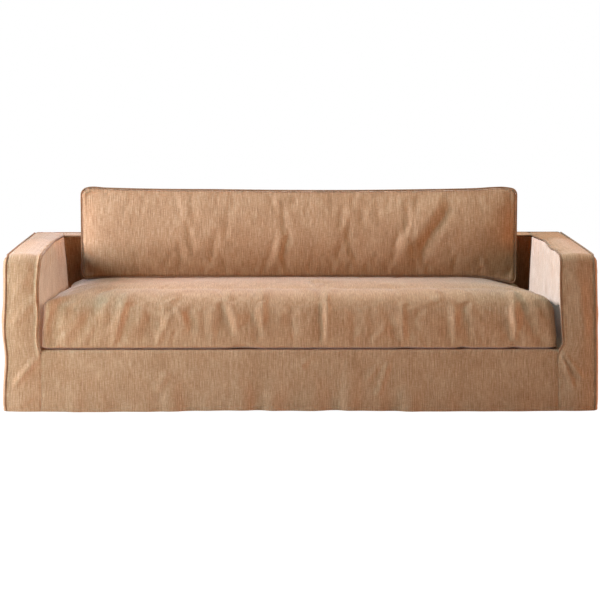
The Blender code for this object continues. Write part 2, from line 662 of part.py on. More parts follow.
def places_between(low, high, spacing, from_ends=()):
    """Even places along a length, with extra ones at the given distances from both ends."""
    inner_low = low + (from_ends[-1] if from_ends else 0.0)
    inner_high = high - (from_ends[-1] if from_ends else 0.0)
    steps = max(1, round((inner_high - inner_low) / spacing))
    even = [mix(inner_low, inner_high, k / steps) for k in range(steps + 1)]
    near_low = [low, *(low + d for d in from_ends[:-1])] if from_ends else []
    near_high = [*(high - d for d in reversed(from_ends[:-1])), high] if from_ends else []
    return near_low + even + near_high


def clamp(value, low, high):
    return min(max(value, low), high)


def seat_point(place):
    """Moves a point of the seat cushion's box to its place on the soft, wrinkled form."""
    x, y, z = place
    from_end = SEAT_HALF_LENGTH - abs(x)
    roll = mix(SEAT_ROLL_AT_LEFT if x < 0 else SEAT_ROLL_AT_RIGHT, SEAT_ROLL, ease(from_end / 0.15))
    radius = mix(SEAT_EDGE, roll, ease((z - SEAT_LEVELS[0]) / (SEAT_LEVELS[3] - SEAT_LEVELS[0])))
    core = Vector((
        clamp(x, radius - SEAT_HALF_LENGTH, SEAT_HALF_LENGTH - radius),
        clamp(y, SEAT_FRONT + radius, SEAT_REAR - radius),
        clamp(z, SEAT_BOTTOM + radius, SEAT_TOP - radius),
    ))
    outwards = (place - core).normalized()
    soft = core + outwards * radius
    up = (soft.z - SEAT_BOTTOM) / (SEAT_TOP - SEAT_BOTTOM)
    waist = 4 * up * (1 - up)
    soft.y += outwards.y * SEAT_FRONT_BULGE * waist
    soft.x += outwards.x * SEAT_END_BULGE * bump(up - 0.25, 0.50)
    crown = bump(y - SEAT_CROWN_MIDDLE, SEAT_CROWN_REACH) * (1 - (x / SEAT_HALF_LENGTH) ** 4)
    soft.z += SEAT_CROWN * max(outwards.z, 0.0) * crown
    front, rear = (1, 2) if x < 0 else (3, 4)
    to_rear = ease((y + 0.45) / 0.60)
    drop = mix(read_table(SEAT_END_DROP, from_end, front), read_table(SEAT_END_DROP, from_end, rear), to_rear)
    soft.z -= drop * ease(up)
    soft.x *= 1 - SEAT_TAPER * ease((y + 0.12) / 0.38)
    soft.x += SEAT_SHIFT
    at_front = ease((-0.28 - y) / 0.12) * ease((z - SEAT_BOTTOM) / 0.04)
    soft += outwards * fold_height(x, min(z, SEAT_TOP), SEAT_FOLDS) * at_front
    lift = sum(height * bump(x - middle, half_width) for middle, half_width, height in SEAT_LIFTS)
    soft.z += lift * ease((-0.40 - y) / 0.06) * ease((0.33 - z) / 0.05)
    return soft


def back_outline(x, z):
    """A point of the back cushion's upright box moved inside its round corners, with its direction outwards."""
    middle = (BACK_BOTTOM + BACK_TOP) / 2
    core_x = clamp(x, BACK_CORNER - BACK_HALF_LENGTH, BACK_HALF_LENGTH - BACK_CORNER)
    core_z = clamp(z, BACK_BOTTOM + BACK_CORNER, BACK_TOP - BACK_CORNER)
    out = Vector((x - core_x, 0.0, z - core_z))
    if out.length < 1e-9:
        return x, z, Vector((0.0, 0.0, 1.0 if z > middle else -1.0))
    reach = max(abs(out.x), abs(out.z))
    direction = out.normalized()
    return core_x + direction.x * reach, core_z + direction.z * reach, direction


def back_point(place):
    """Moves a point of the back cushion's box to its place on the crowned form."""
    x, z, outwards = back_outline(place.x, place.z)
    up = (place.z - BACK_BOTTOM) / (BACK_TOP - BACK_BOTTOM)
    through = 2 * (place.y - BACK_FRONT) / (BACK_REAR - BACK_FRONT) - 1  # -1 on the front face, 1 on the rear
    soft = Vector((x, place.y, z))
    soft.z += read_table(BACK_TOP_EDGE, place.x) * up + read_table(BACK_LOWER_EDGE, place.x) * (1 - up)
    soft.z -= BACK_REAR_DROP * up * (1 + through) / 2
    low = clamp(up, 0.0, 1.0) ** 0.85  # the cushion is fullest a little below its middle
    crown = (1 - abs(place.x / BACK_HALF_LENGTH) ** 8) * 4 * low * (1 - low)
    if through < -0.999:
        soft.y -= BACK_CROWN * crown + fold_height(place.x, place.z, BACK_FOLDS) * ease(crown * 3)
    elif through > 0.999:
        soft.y += BACK_REAR_CROWN * crown
    else:
        lengthways = BACK_UPPER_BULGE if outwards.z > 0 else BACK_LOWER_BULGE
        bulge = mix(BACK_BOXING_BULGE, lengthways, abs(outwards.z))
        soft += outwards * bulge * (1 - through**2)
    return soft


def back_lines():
    x_places = places_between(-BACK_HALF_LENGTH, BACK_HALF_LENGTH, BACK_COLUMN, (BACK_CORNER,))
    z_places = [BACK_BOTTOM, BACK_BOTTOM + BACK_CORNER, *BACK_LEVELS, BACK_TOP - BACK_CORNER, BACK_TOP]
    return x_places, [BACK_FRONT, *BACK_ROWS, BACK_REAR], z_places


def cushion_piping(y):
    """The closed run of piping along the front or the rear edge of the back cushion."""
    x_places, _, z_places = back_lines()
    edge = [(x, z_places[0]) for x in x_places]
    edge += [(x_places[-1], z) for z in z_places[1:]]
    edge += [(x, z_places[-1]) for x in reversed(x_places[:-1])]
    edge += [(x_places[0], z) for z in reversed(z_places[1:-1])]
    forwards = Vector((0.0, -1.0 if y == BACK_FRONT else 1.0, 0.0))
    points = []
    for x, z in edge:
        outwards = back_outline(x, z)[2]
        points.append(back_point(Vector((x, y, z))) + (outwards + forwards) * PIPED_EDGE * math.sqrt(0.5))
    return points


def main():
    for name, side in (("left", -1), ("right", 1)):
        add_sheet(f"outside_arm_{name}", outside_arm(side), "cover", (side * HALF_WIDTH, 0.0, 0.0))
        add_sheet(f"arm_band_{name}", arm_band(side), "cover", (side * (HALF_WIDTH - ARM_WIDTH / 2), FRONT_Y, 0.0))
        add_sheet(f"inside_arm_{name}", inside_arm(side), "cover", (side * INNER_X, 0.0, DECK_TOP))
        add_piping(f"piping_outer_{name}", outer_piping(side), (side * HALF_WIDTH, FRONT_Y, 0.0))
    add_sheet("inside_back", inside_back(), "cover", (0.0, BACK_FRONT_Y, DECK_TOP))
    add_sheet("back_band", back_band(), "cover", (0.0, HALF_DEPTH - BACK_THICKNESS / 2, ARM_HEIGHT))
    add_sheet("outside_back", outside_back(), "cover", (0.0, HALF_DEPTH, 0.0))
    add_sheet("deck", deck(), "cover", (0.0, 0.0, DECK_TOP))
    add_sheet("front_skirt", front_skirt(), "cover", (0.0, FRONT_Y, 0.0))
    add_piping("piping_inner", inner_piping(), (0.0, BACK_FRONT_Y, ARM_HEIGHT))
    add_piping("piping_rear", rear_piping(), (0.0, HALF_DEPTH, 0.0))

    seat_lines = (
        places_between(-SEAT_HALF_LENGTH, SEAT_HALF_LENGTH, SEAT_COLUMN, SEAT_END_COLUMNS),
        [SEAT_FRONT, *SEAT_ROWS, SEAT_REAR],
        [SEAT_BOTTOM, *SEAT_LEVELS, SEAT_TOP],
    )
    add_cushion("seat_cushion", seat_lines, seat_point, (0.0, SEAT_FRONT, SEAT_BOTTOM))
    add_cushion("back_cushion", back_lines(), back_point, (0.0, BACK_FRONT, BACK_BOTTOM))
    add_piping("piping_cushion_front", cushion_piping(BACK_FRONT), (0.0, BACK_FRONT, BACK_BOTTOM), closed=True)
    add_piping("piping_cushion_rear", cushion_piping(BACK_REAR), (0.0, BACK_REAR, BACK_BOTTOM), closed=True)


clear_scene()
PARTS = bpy.data.collections.new("sofa_slipcover")
bpy.context.scene.collection.children.link(PARTS)
ROOT = bpy.data.objects.new("sofa_slipcover_origin", None)
PARTS.objects.link(ROOT)
main()
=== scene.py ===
# %% [markdown]
# # A linen slipcover for a long sofa
#
# The real object is one big sewn cover of washed linen that drops over a sofa frame, with two loose
# cushions in the same cloth. This lesson dresses the measured model of it. Every panel becomes a fine
# sheet of cloth with its own folds, every seam gets its piping, and the two cushions are blown up like
# real ones.
#
# We load the measured model first. It is in metres, +Z up, and the sofa faces -Y.

# %% Load the measured model
import math

import bpy
import numpy as np
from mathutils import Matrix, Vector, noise


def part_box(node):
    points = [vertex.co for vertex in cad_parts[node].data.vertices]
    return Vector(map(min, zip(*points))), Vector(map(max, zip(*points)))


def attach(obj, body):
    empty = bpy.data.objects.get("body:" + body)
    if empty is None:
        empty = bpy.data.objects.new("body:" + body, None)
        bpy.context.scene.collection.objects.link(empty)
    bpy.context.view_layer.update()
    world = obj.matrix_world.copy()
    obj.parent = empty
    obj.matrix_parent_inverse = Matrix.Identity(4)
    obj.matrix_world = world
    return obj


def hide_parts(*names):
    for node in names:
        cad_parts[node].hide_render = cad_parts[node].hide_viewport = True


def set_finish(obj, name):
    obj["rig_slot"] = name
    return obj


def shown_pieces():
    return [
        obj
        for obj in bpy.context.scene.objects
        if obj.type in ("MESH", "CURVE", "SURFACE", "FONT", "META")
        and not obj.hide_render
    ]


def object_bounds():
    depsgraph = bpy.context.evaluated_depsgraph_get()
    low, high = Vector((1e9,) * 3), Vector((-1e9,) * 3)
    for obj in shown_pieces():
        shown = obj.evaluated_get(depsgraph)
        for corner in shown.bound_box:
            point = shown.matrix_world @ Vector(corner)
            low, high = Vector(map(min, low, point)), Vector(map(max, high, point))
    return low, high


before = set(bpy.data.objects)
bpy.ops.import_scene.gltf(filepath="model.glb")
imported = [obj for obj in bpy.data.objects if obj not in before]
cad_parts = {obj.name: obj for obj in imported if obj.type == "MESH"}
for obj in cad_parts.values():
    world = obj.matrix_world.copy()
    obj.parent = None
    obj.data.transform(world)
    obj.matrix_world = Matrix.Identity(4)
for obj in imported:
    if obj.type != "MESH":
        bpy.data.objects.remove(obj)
CAD_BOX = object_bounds()
print("measured model:", [round(side, 3) for side in CAD_BOX[1] - CAD_BOX[0]])

# %% [markdown]
# ## The camera comes first
#
# A picture of furniture like this is taken from far away with a long lens, so that the sides hardly
# spread. We put the camera nearly nine metres in front, a little above the seat back, and tilt it down by
# seven degrees.

# %% Camera
LENS_MM = 128.46
CAMERA_PLACE = (-0.0956, -8.7533, 1.4488)
TILT_DOWN, TURN_RIGHT = math.radians(6.968), math.radians(0.640)

bpy.ops.object.camera_add(location=CAMERA_PLACE, rotation=(math.pi / 2 - TILT_DOWN, 0.0, -TURN_RIGHT))
camera = bpy.context.object
camera.data.lens = LENS_MM
camera.data.sensor_width = 36.0
bpy.context.scene.camera = camera
print("camera lens:", camera.data.lens, "mm")

# %% [markdown]
# ## Sizes of the cover
#
# A slipcover is cut from a few sizes: the length, the depth, the height and width of the arms, and the
# thickness of the low back. All seams follow from them. The height of the deck is read from the measured
# model.

# %% Driving sizes, in metres
HALF_WIDTH, HALF_DEPTH = 1.142, 0.500
ARM_HEIGHT, ARM_WIDTH, ARM_ROLL = 0.612, 0.134, 0.038
BACK_THICKNESS = 0.146
INNER_X = HALF_WIDTH - ARM_WIDTH
FRONT_Y, BACK_FRONT_Y = -HALF_DEPTH, HALF_DEPTH - BACK_THICKNESS
DECK_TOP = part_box("deck")[1].z
SEAM_TOP = 0.222  # the plain seam of the base front ends here, and the inner piping begins
PIPING_FOOT = 0.229
SKIRT_ROLL = 0.012

CLOTH = 0.0025
PIPE_RADIUS = 0.0036
SEAM_INSET = 0.0016  # from a piping's centre line to the edge of the cloth that is sewn to it
TUCK, TUCK_REACH = 0.0022, 0.010  # cloth dips into its seam by TUCK, starting TUCK_REACH away
HEM_WIDTH, HEM_RISE = 0.014, 0.0009
HEM_ROWS = (0.0, 0.004, 0.009, HEM_WIDTH - 0.001, HEM_WIDTH + 0.001, HEM_WIDTH + 0.005)
ROWS_FROM = 0.026  # above the rows of its hem, a panel's rows are evenly spaced from this height

print("deck at", round(DECK_TOP, 4))

# %% [markdown]
# ## Helpers for shapes that are sewn by hand
#
# Nothing on a washed slipcover is straight. Each seam wanders by a few millimetres, and we write that
# down as a short table. `smooth_read` draws a smooth curve through such a table. `ease` and `bump` are
# the two soft shapes that all folds are made of.

# %% Tables, eases and bumps
def smooth_read(rows, places, column=1):
    """A smooth curve through one column of a short table, level past both ends."""
    table = np.array(rows, float)
    x, y = table[:, 0], table[:, column]
    last = len(x) - 1
    before, after = np.maximum(np.arange(last + 1) - 1, 0), np.minimum(np.arange(last + 1) + 1, last)
    slope = (y[after] - y[before]) / (x[after] - x[before])
    at = np.clip(places, x[0], x[-1])
    i = np.clip(np.searchsorted(x, at) - 1, 0, last - 1)
    step = x[i + 1] - x[i]
    t = (at - x[i]) / step
    ends = y[i] * (2 * t**3 - 3 * t**2 + 1) + y[i + 1] * (3 * t**2 - 2 * t**3)
    return ends + step * (slope[i] * (t**3 - 2 * t**2 + t) + slope[i + 1] * (t**3 - t**2))


def ease(t):
    """0 up to t = 0, 1 from t = 1, and smooth between."""
    t = np.clip(t, 0.0, 1.0)
    return t * t * (3 - 2 * t)


def bump(distance, half_width):
    """1 at no distance, 0 from half_width on, and rounded between."""
    t = np.minimum(np.abs(distance) / half_width, 1.0)
    return (1 - t * t) ** 2


def mix(a, b, t):
    """a at t = 0, b at t = 1, and straight between."""
    return a + (b - a) * t


def column_of(side):
    """The column that holds a side in a table of place, left and right."""
    return 1 if side < 0 else 2


print("halfway up an ease:", ease(0.5))

# %% [markdown]
# ## Folds, flutes and crumples
#
# Cloth shows three kinds of relief. A *fold* is a ridge or a trough along a line, strongest in its
# middle. A *flute* hangs down and opens towards the hem. And between them washed linen has a fine
# unevenness, a few tenths of a millimetre high, that we get from smooth noise stretched along the warp.

# %% Relief of cloth
def fold_height(across, up, folds):
    """Height of soft ridges. Each row: from across, up, to across, up, half width, height outwards."""
    total = np.zeros(np.broadcast(across, up).shape)
    for x0, z0, x1, z1, half_width, height in folds:
        run, rise = x1 - x0, z1 - z0
        length = math.hypot(run, rise)
        along = ((across - x0) * run + (up - z0) * rise) / length**2
        aside = ((across - x0) * rise - (up - z0) * run) / length
        total += height * bump(aside, half_width) * ease((0.62 - np.abs(along - 0.5)) / 0.25)
    return total


def flute_height(across, up, flutes):
    """Height of flutes that deepen down to a hem. Each row: place, half width, height, reach upwards."""
    total = np.zeros(np.broadcast(across, up).shape)
    for place, half_width, height, reach in flutes:
        total += height * bump(across - place, half_width) * ease(1 - up / reach)
    return total


def crumple(across, along, width, length, seed):
    """Smooth uneven relief from about -1 to 1, in swells of the given width and length."""
    across, along = np.broadcast_arrays(across, along)
    places = zip((across / width).ravel(), (along / length).ravel())
    return np.reshape([noise.noise((u, v, seed)) for u, v in places], across.shape)


def washed(across, along, seed):
    """The unevenness of washed linen in metres: long soft swells and short narrow creases."""
    swells = 0.0016 * crumple(across, along, 0.11, 0.22, seed)
    creases = 0.0008 * crumple(across, along, 0.032, 0.090, seed + 7.7)
    return swells + creases + 0.0003 * crumple(across, along, 0.011, 0.030, seed + 3.1)


print("washed linen at one place:", round(float(washed(0.3, 0.2, 1.0)) * 1000, 2), "mm")

# %% [markdown]
# ## A sheet of cloth from a grid of points
#
# A tailor thinks of a panel as a flat piece held along its edges. So do we: `stretch` fills the space
# between four edges with a grid, `push_out` raises the relief along the grid's own normals, and
# `make_cloth` turns the grid into a mesh. We use Blender's grid primitive, because it gives clean quads
# and a UV map. The UV map is rewritten in metres along the threads, so that the weave has its real size
# on every panel.

# %% Grids of points
def stretch(bottom, top, first, last):
    """Grid of points between four edges. bottom and top run one way, first and last run upwards."""
    u = np.linspace(0, 1, len(bottom))[None, :, None]
    v = np.linspace(0, 1, len(first))[:, None, None]
    across = mix(first[:, None], last[:, None], u)
    upwards = mix(bottom[None], top[None], v)
    corners = mix(mix(bottom[0], bottom[-1], u), mix(top[0], top[-1], u), v)
    return across + upwards - corners


def grid_normals(grid):
    """Normals of a grid, as long as its cells are large."""
    return np.cross(np.gradient(grid, axis=1), np.gradient(grid, axis=0))


def push_out(grid, height, outwards):
    """A grid raised by height along its normals, on the side that faces the direction outwards."""
    normals = grid_normals(grid)
    normals /= np.linalg.norm(normals, axis=2, keepdims=True) + 1e-12
    normals *= np.sign((normals @ np.array(outwards)).mean())
    return grid + normals * height[..., None]


def spaced(length, step=0.008, near=(0.0, 0.0015, 0.0035, 0.0060, 0.0100)):
    """Places from 0 to length, closer together at both ends where cloth dips into its seams."""
    near = np.array(near)
    middle_steps = max(1, round((length - 2 * near[-1]) / step))
    middle = np.linspace(near[-1], length - near[-1], middle_steps + 1)
    return np.concatenate([near[:-1], middle, (length - near[:-1])[::-1]])


def seam_dip(distance):
    """Cloth dips inwards where it runs into a seam."""
    return -TUCK * (1 - ease(distance / TUCK_REACH))


def hem_relief(height):
    """The doubled cloth of a hem stands a little proud, with a stitched groove along its upper edge."""
    doubled = HEM_RISE * ease((HEM_WIDTH + 0.001 - height) / 0.002)
    return doubled - 0.0005 * bump(height - HEM_WIDTH - 0.002, 0.003)


# %% Cloth from a grid
def new_grid(name, columns, rows):
    """Blender's grid primitive, with the column and row of each of its vertices."""
    bpy.ops.object.select_all(action="DESELECT")
    bpy.ops.mesh.primitive_grid_add(x_subdivisions=columns, y_subdivisions=rows, size=2)
    piece = bpy.context.object
    piece.name = piece.data.name = name
    cells = (coordinates(piece.data)[:, :2] + 1) / 2 * (columns, rows)
    column, row = np.rint(cells).astype(int).T
    return piece, column, row


def place_points(mesh, places):
    """Moves the vertices of a mesh, one row of places for each."""
    mesh.vertices.foreach_set("co", places.astype(np.float32).ravel())
    mesh.update()


def coordinates(mesh):
    """Places of a mesh's vertices, one row each."""
    flat = np.empty(len(mesh.vertices) * 3, np.float32)
    mesh.vertices.foreach_get("co", flat)
    return flat.reshape(-1, 3).astype(float)


def write_uv(mesh, u, v):
    """Gives each corner of the mesh the thread coordinates of its vertex, in metres."""
    corner = np.empty(len(mesh.loops), np.int32)
    mesh.loops.foreach_get("vertex_index", corner)
    layer = mesh.uv_layers.active
    layer.name = "threads"
    layer.data.foreach_set("uv", np.column_stack([u[corner], v[corner]]).astype(np.float32).ravel())


def thread_lengths(grid):
    """Metres along the weft for each column, and along the warp for each row."""
    weft = np.linalg.norm(np.diff(grid, axis=1), axis=2).mean(axis=0)
    warp = np.linalg.norm(np.diff(grid, axis=0), axis=2).mean(axis=1)
    return np.concatenate([[0.0], np.cumsum(weft)]), np.concatenate([[0.0], np.cumsum(warp)])


def lay_grid(name, grid, outwards):
    """One layer of cloth through a grid of points, its faces turned to the direction outwards."""
    piece, column, row = new_grid(name, grid.shape[1] - 1, grid.shape[0] - 1)
    mesh = piece.data
    place_points(mesh, grid[row, column])
    weft, warp = thread_lengths(grid)
    write_uv(mesh, weft[column], warp[row])
    if (grid_normals(grid) @ np.array(outwards)).mean() < 0:
        mesh.flip_normals()
    return piece


def finish_with(piece, kind, **settings):
    """Adds a modifier with its settings and applies it."""
    modifier = piece.modifiers.new(kind.title(), kind)
    for setting, value in settings.items():
        setattr(modifier, setting, value)
    bpy.context.view_layer.objects.active = piece
    bpy.ops.object.modifier_apply(modifier=modifier.name)


def make_cloth(name, grid, outwards, node):
    """A finished panel: a sheet with its thickness, which stands for a node of the measured model."""
    piece = lay_grid(name, grid, outwards)
    finish_with(piece, "SOLIDIFY", thickness=CLOTH, offset=0.0, use_even_offset=False)
    places = coordinates(piece.data)
    places[:, 2] = np.maximum(places[:, 2], 0.0)  # a hem rests on the floor and never sinks into it
    place_points(piece.data, places)
    piece.data.shade_smooth()
    piece.data.set_sharp_from_angle(angle=math.radians(60))
    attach(piece, "root")
    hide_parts(node)
    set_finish(piece, "cover_linen")
    return piece


# %% [markdown]
# ## Where the seams run
#
# The arm's strip is one piece of cloth: up the front, over a soft roll and back along the top. We measure
# along it from the hem, and call that distance the *run*. The tables say how far both of its seams wander
# outwards.

# %% The arm's path and its two seams
# Columns: run, left arm, right arm
OUTER_EDGE = (
    (0.00, 0.008, 0.010), (0.03, 0.012, 0.012), (0.12, 0.008, 0.011), (0.21, 0.002, 0.010),
    (0.32, 0.010, 0.007), (0.41, 0.005, 0.005), (0.50, 0.002, 0.002), (0.58, 0.000, -0.001),
    (0.61, -0.004, -0.005), (0.66, 0.000, -0.002), (1.10, 0.001, 0.000), (1.60, -0.001, -0.002),
)
INNER_EDGE = (
    (0.00, 0.004, 0.000), (0.12, 0.002, -0.003), (0.23, 0.004, -0.003), (0.27, 0.010, 0.015),
    (0.31, 0.012, 0.012), (0.38, 0.007, 0.007), (0.45, 0.011, 0.003), (0.51, 0.010, 0.001),
    (0.57, 0.003, 0.001), (0.63, -0.003, 0.001), (0.80, 0.002, 0.006), (0.89, 0.003, -0.002),
    (1.10, 0.007, 0.010), (1.20, 0.008, 0.011), (1.28, 0.005, 0.003), (1.40, -0.002, -0.009),
    (1.46, -0.005, -0.009), (1.60, -0.004, -0.006),
)
FRONT_TOP = ARM_HEIGHT - ARM_ROLL  # end of the straight front
ROLL_END = FRONT_TOP + ARM_ROLL * math.pi / 2
ROLL_MIDDLE = FRONT_TOP + ARM_ROLL * math.pi / 4
RUN_END = ROLL_END + HALF_DEPTH - FRONT_Y - ARM_ROLL


def run_at(y):
    """Run of a place on the arm's top at depth y."""
    return ROLL_END + y - FRONT_Y - ARM_ROLL


def arm_path(run):
    """(y, z) at each run and the direction inwards as (y, z)."""
    run = np.asarray(run, float)
    angle = np.clip((run - FRONT_TOP) / ARM_ROLL, 0, math.pi / 2)
    y = FRONT_Y + ARM_ROLL * (1 - np.cos(angle)) + np.maximum(run - ROLL_END, 0)
    z = np.minimum(run, FRONT_TOP) + ARM_ROLL * np.sin(angle)
    return y, z, np.cos(angle), -np.sin(angle)


def arm_x(side, edge, run):
    """Distance from the middle of the sofa to a seam of the arm on side -1 or 1."""
    base, rows = (HALF_WIDTH, OUTER_EDGE) if edge == "outer" else (INNER_X, INNER_EDGE)
    return base + smooth_read(rows, run, column_of(side))


print("cloth over an arm, hem to rear:", round(RUN_END, 3))

# %% [markdown]
# ## The hem
#
# The hem touches the floor here and there and lifts between. We fade that wave out towards the top of the
# base.

# %% Hems
FRONT_HEM = (  # Columns: place across, height above the floor
    (-1.16, 0.004), (-0.95, 0.002), (-0.78, 0.000), (-0.45, 0.003), (-0.24, 0.006), (0.00, 0.003),
    (0.15, 0.005), (0.38, 0.001), (0.60, 0.000), (0.90, 0.001), (1.16, 0.003),
)
SIDE_HEM = ((-0.50, 0.004), (-0.25, 0.001), (0.05, 0.003), (0.30, 0.000), (0.50, 0.003))
REAR_HEM = ((-1.15, 0.003), (-0.60, 0.000), (0.00, 0.004), (0.50, 0.001), (1.15, 0.003))


def lifted(z, x):
    """The height z of a row near the front hem, raised by the hem's own waves."""
    return z + smooth_read(FRONT_HEM, x) * (1 - ease(z / SEAM_TOP))


print("front hem at the middle:", round(float(lifted(0.0, 0.0)), 4))

# %% [markdown]
# ## The arm's strip
#
# Its front is pulled into slanting folds where the base front is sewn on, as any cover does that is put
# on by hand. The strip crowns a little between its two seams, and each long edge dips into the seam, so
# that the piping stands proud of it.

# %% Strips over the arms
FRONT_FOLDS = (  # Columns: from across, up, to across, up, half width, height outwards
    (-1.028, 0.212, -1.118, 0.104, 0.022, 0.0080), (-1.022, 0.452, -1.125, 0.340, 0.030, 0.0045),
    (1.016, 0.225, 1.062, 0.100, 0.010, 0.0070), (1.020, 0.225, 1.080, 0.120, 0.009, -0.0035),
    (1.024, 0.232, 1.098, 0.136, 0.010, 0.0060), (1.112, 0.300, 1.075, 0.480, 0.030, 0.0035),
    (-1.040, 0.560, -1.110, 0.470, 0.026, 0.0025), (1.050, 0.560, 1.110, 0.440, 0.028, 0.0025),
    (-1.050, 0.060, -1.100, 0.020, 0.020, 0.0020), (-0.004, 0.172, 0.046, 0.236, 0.022, 0.0050),
    (-0.520, 0.160, -0.560, 0.080, 0.020, 0.0045), (0.343, 0.196, 0.300, 0.060, 0.018, 0.0045),
    (0.300, 0.180, 0.255, 0.120, 0.018, 0.0035),
)
BAND_CROWN = 0.006
CREST_AT, CREST_HALF_WIDTH = 0.0065, 0.0065  # the strip swells up beside its inner piping
CREST_HEIGHT = (  # Columns: run, left arm, right arm
    (0.00, 0.000, 0.000), (0.22, 0.001, 0.000), (0.26, 0.0050, 0.0015), (0.40, 0.0052, 0.0012),
    (0.58, 0.0046, 0.0010), (0.66, 0.0044, 0.0016), (0.80, 0.0040, 0.0032), (1.00, 0.0034, 0.0036),
    (1.25, 0.0020, 0.0036), (1.45, 0.0010, 0.0020), (1.60, 0.000, 0.000),
)
CREST_PUCKER = 0.9  # on the arm's top the swelling comes and goes, because the seam is gathered there
BAND_SIDE_ROOM = 0.15  # share of the strip's half width over which a front fold fades out


def arm_band(side):
    """Grid of the strip on one arm, from its outer to its inner seam."""
    even_rows = np.linspace(ROWS_FROM, RUN_END - 0.008, 196)
    runs = np.concatenate([HEM_ROWS, even_rows, [RUN_END - 0.004, RUN_END - SEAM_INSET]])
    near = (0.0, 0.0015, 0.0035, 0.0050, 0.0065, 0.0080, 0.0100, 0.0130)
    across = spaced(ARM_WIDTH, 0.007, near) / ARM_WIDTH
    run, t = np.meshgrid(runs, across, indexing="ij")
    plain = run < SEAM_TOP
    outer = arm_x(side, "outer", run) - SEAM_INSET
    inner = arm_x(side, "inner", run) + np.where(plain, 0.0002, SEAM_INSET)
    x = side * mix(outer, inner, t)
    y, z, _, _ = arm_path(run)
    z = np.where(run < FRONT_TOP, lifted(z, x), z)
    from_side = np.minimum(t, 1 - t) * ARM_WIDTH
    from_rear = RUN_END - run
    room = ease(2 * np.minimum(t, 1 - t) / BAND_SIDE_ROOM)
    stand_out = BAND_CROWN * bump(2 * t - 1, 1.0) * ease(from_rear / 0.06)
    stand_out += fold_height(x, z, FRONT_FOLDS) * room * (run < FRONT_TOP)
    stand_out += washed(t * ARM_WIDTH, run, 2.0 + side) * ease(from_side / 0.02)
    crest = smooth_read(CREST_HEIGHT, run, column_of(side))
    puckers = 2 * CREST_PUCKER * crumple(run, 0 * run, 0.045, 1.0, 5.0 + side)
    crest = crest * (1 + puckers * ease((run - ROLL_END) / 0.05))
    stand_out += crest * bump((1 - t) * ARM_WIDTH - CREST_AT, CREST_HALF_WIDTH)
    stand_out += seam_dip(np.minimum(from_side, from_rear)) + hem_relief(run)
    return push_out(np.stack([x, y, z], axis=2), stand_out, (0, -0.3, 1))


for side, name in ((-1, "left"), (1, "right")):
    make_cloth(f"arm_strip_{name}", arm_band(side), (0, -0.3, 1), f"arm_band_{name}")

# %% [markdown]
# ## The outer side panels
#
# Each one hangs from the arm's outer seam and billows a little past its piping, with flutes that open
# towards the hem. Four edges bound it: the front seam, the top seam, the rear seam and the hem.

# %% Outer side panels
REAR_EDGE = (  # How far the rear seam wanders outwards. Columns: height, left, right
    (0.000, 0.008, 0.006), (0.150, 0.004, 0.009), (0.300, 0.007, 0.003), (0.450, 0.002, 0.006),
    (0.612, -0.001, -0.002),
)
SIDE_FLUTES = (  # Columns: place from front to rear, half width, height outwards, reach upwards
    (-0.36, 0.090, 0.006, 0.26), (-0.20, 0.080, -0.006, 0.20), (-0.05, 0.080, 0.007, 0.30),
    (0.12, 0.090, -0.006, 0.22), (0.28, 0.085, 0.006, 0.26),
)
SIDE_FOLDS = (  # Columns as for the front folds, the place across counted from front to rear
    (-0.455, 0.56, -0.36, 0.42, 0.020, 0.0030), (-0.47, 0.40, -0.40, 0.22, 0.020, 0.0030),
    (0.455, 0.55, 0.33, 0.40, 0.022, 0.0035), (0.10, 0.595, 0.06, 0.48, 0.018, 0.0025),
    (-0.20, 0.595, -0.21, 0.50, 0.016, 0.0025), (0.30, 0.59, 0.27, 0.50, 0.014, 0.0020),
)
SIDE_BILLOW = 0.011
SIDE_ROOM = 0.024  # distance from a seam over which the billow rises
ROLL_ROWS = ROLL_MIDDLE - np.array([0.004, 0.002, 0.0])  # the last rows below a top seam are closer together


def seam_points(side, edge, runs, inset):
    """Points beside one of the arm's seams, inset towards the floor or the rear."""
    y, z, in_y, in_z = arm_path(runs)
    x = side * arm_x(side, edge, runs)
    z = np.where(runs < FRONT_TOP, lifted(z, x), z)
    return np.column_stack([x, y + in_y * inset, z + in_z * inset])


def outside_arm(side):
    """Grid of the outer side panel of one arm."""
    front_runs = np.concatenate([HEM_ROWS, np.linspace(ROWS_FROM, ROLL_MIDDLE - 0.008, 70), ROLL_ROWS])
    top_runs = ROLL_MIDDLE + spaced(RUN_END - SEAM_INSET - ROLL_MIDDLE, 0.009)
    front = seam_points(side, "outer", front_runs, SEAM_INSET)
    top = seam_points(side, "outer", top_runs, SEAM_INSET)
    rear_z = front_runs / ROLL_MIDDLE * (ARM_HEIGHT - SEAM_INSET)
    rear_x = side * (HALF_WIDTH + smooth_read(REAR_EDGE, rear_z, column_of(side)))
    rear = np.column_stack([rear_x, np.full_like(rear_z, HALF_DEPTH - SEAM_INSET), rear_z])
    rear[0, 2] = smooth_read(SIDE_HEM, HALF_DEPTH)
    rear[-1] = top[-1]
    backwards = (top[:, 1] - top[0, 1]) / (top[-1, 1] - top[0, 1])
    bottom = mix(front[0], rear[0], backwards[:, None])
    bottom[1:-1, 2] = smooth_read(SIDE_HEM, bottom[1:-1, 1])
    grid = stretch(bottom, top, front, rear)
    y, z = grid[..., 1], grid[..., 2]
    from_seam = np.minimum(np.minimum(y - FRONT_Y, HALF_DEPTH - y), ARM_HEIGHT - z)
    relief = SIDE_BILLOW + flute_height(y, z, SIDE_FLUTES) + fold_height(y, z, SIDE_FOLDS)
    relief += washed(y, z, 20.0 + side)
    stand_out = relief * ease(from_seam / SIDE_ROOM) + seam_dip(from_seam) + hem_relief(z)
    return push_out(grid, stand_out, (side, 0, 0))


for side, name in ((-1, "left"), (1, "right")):
    make_cloth(f"side_panel_{name}", outside_arm(side), (side, 0, 0), f"outside_arm_{name}")

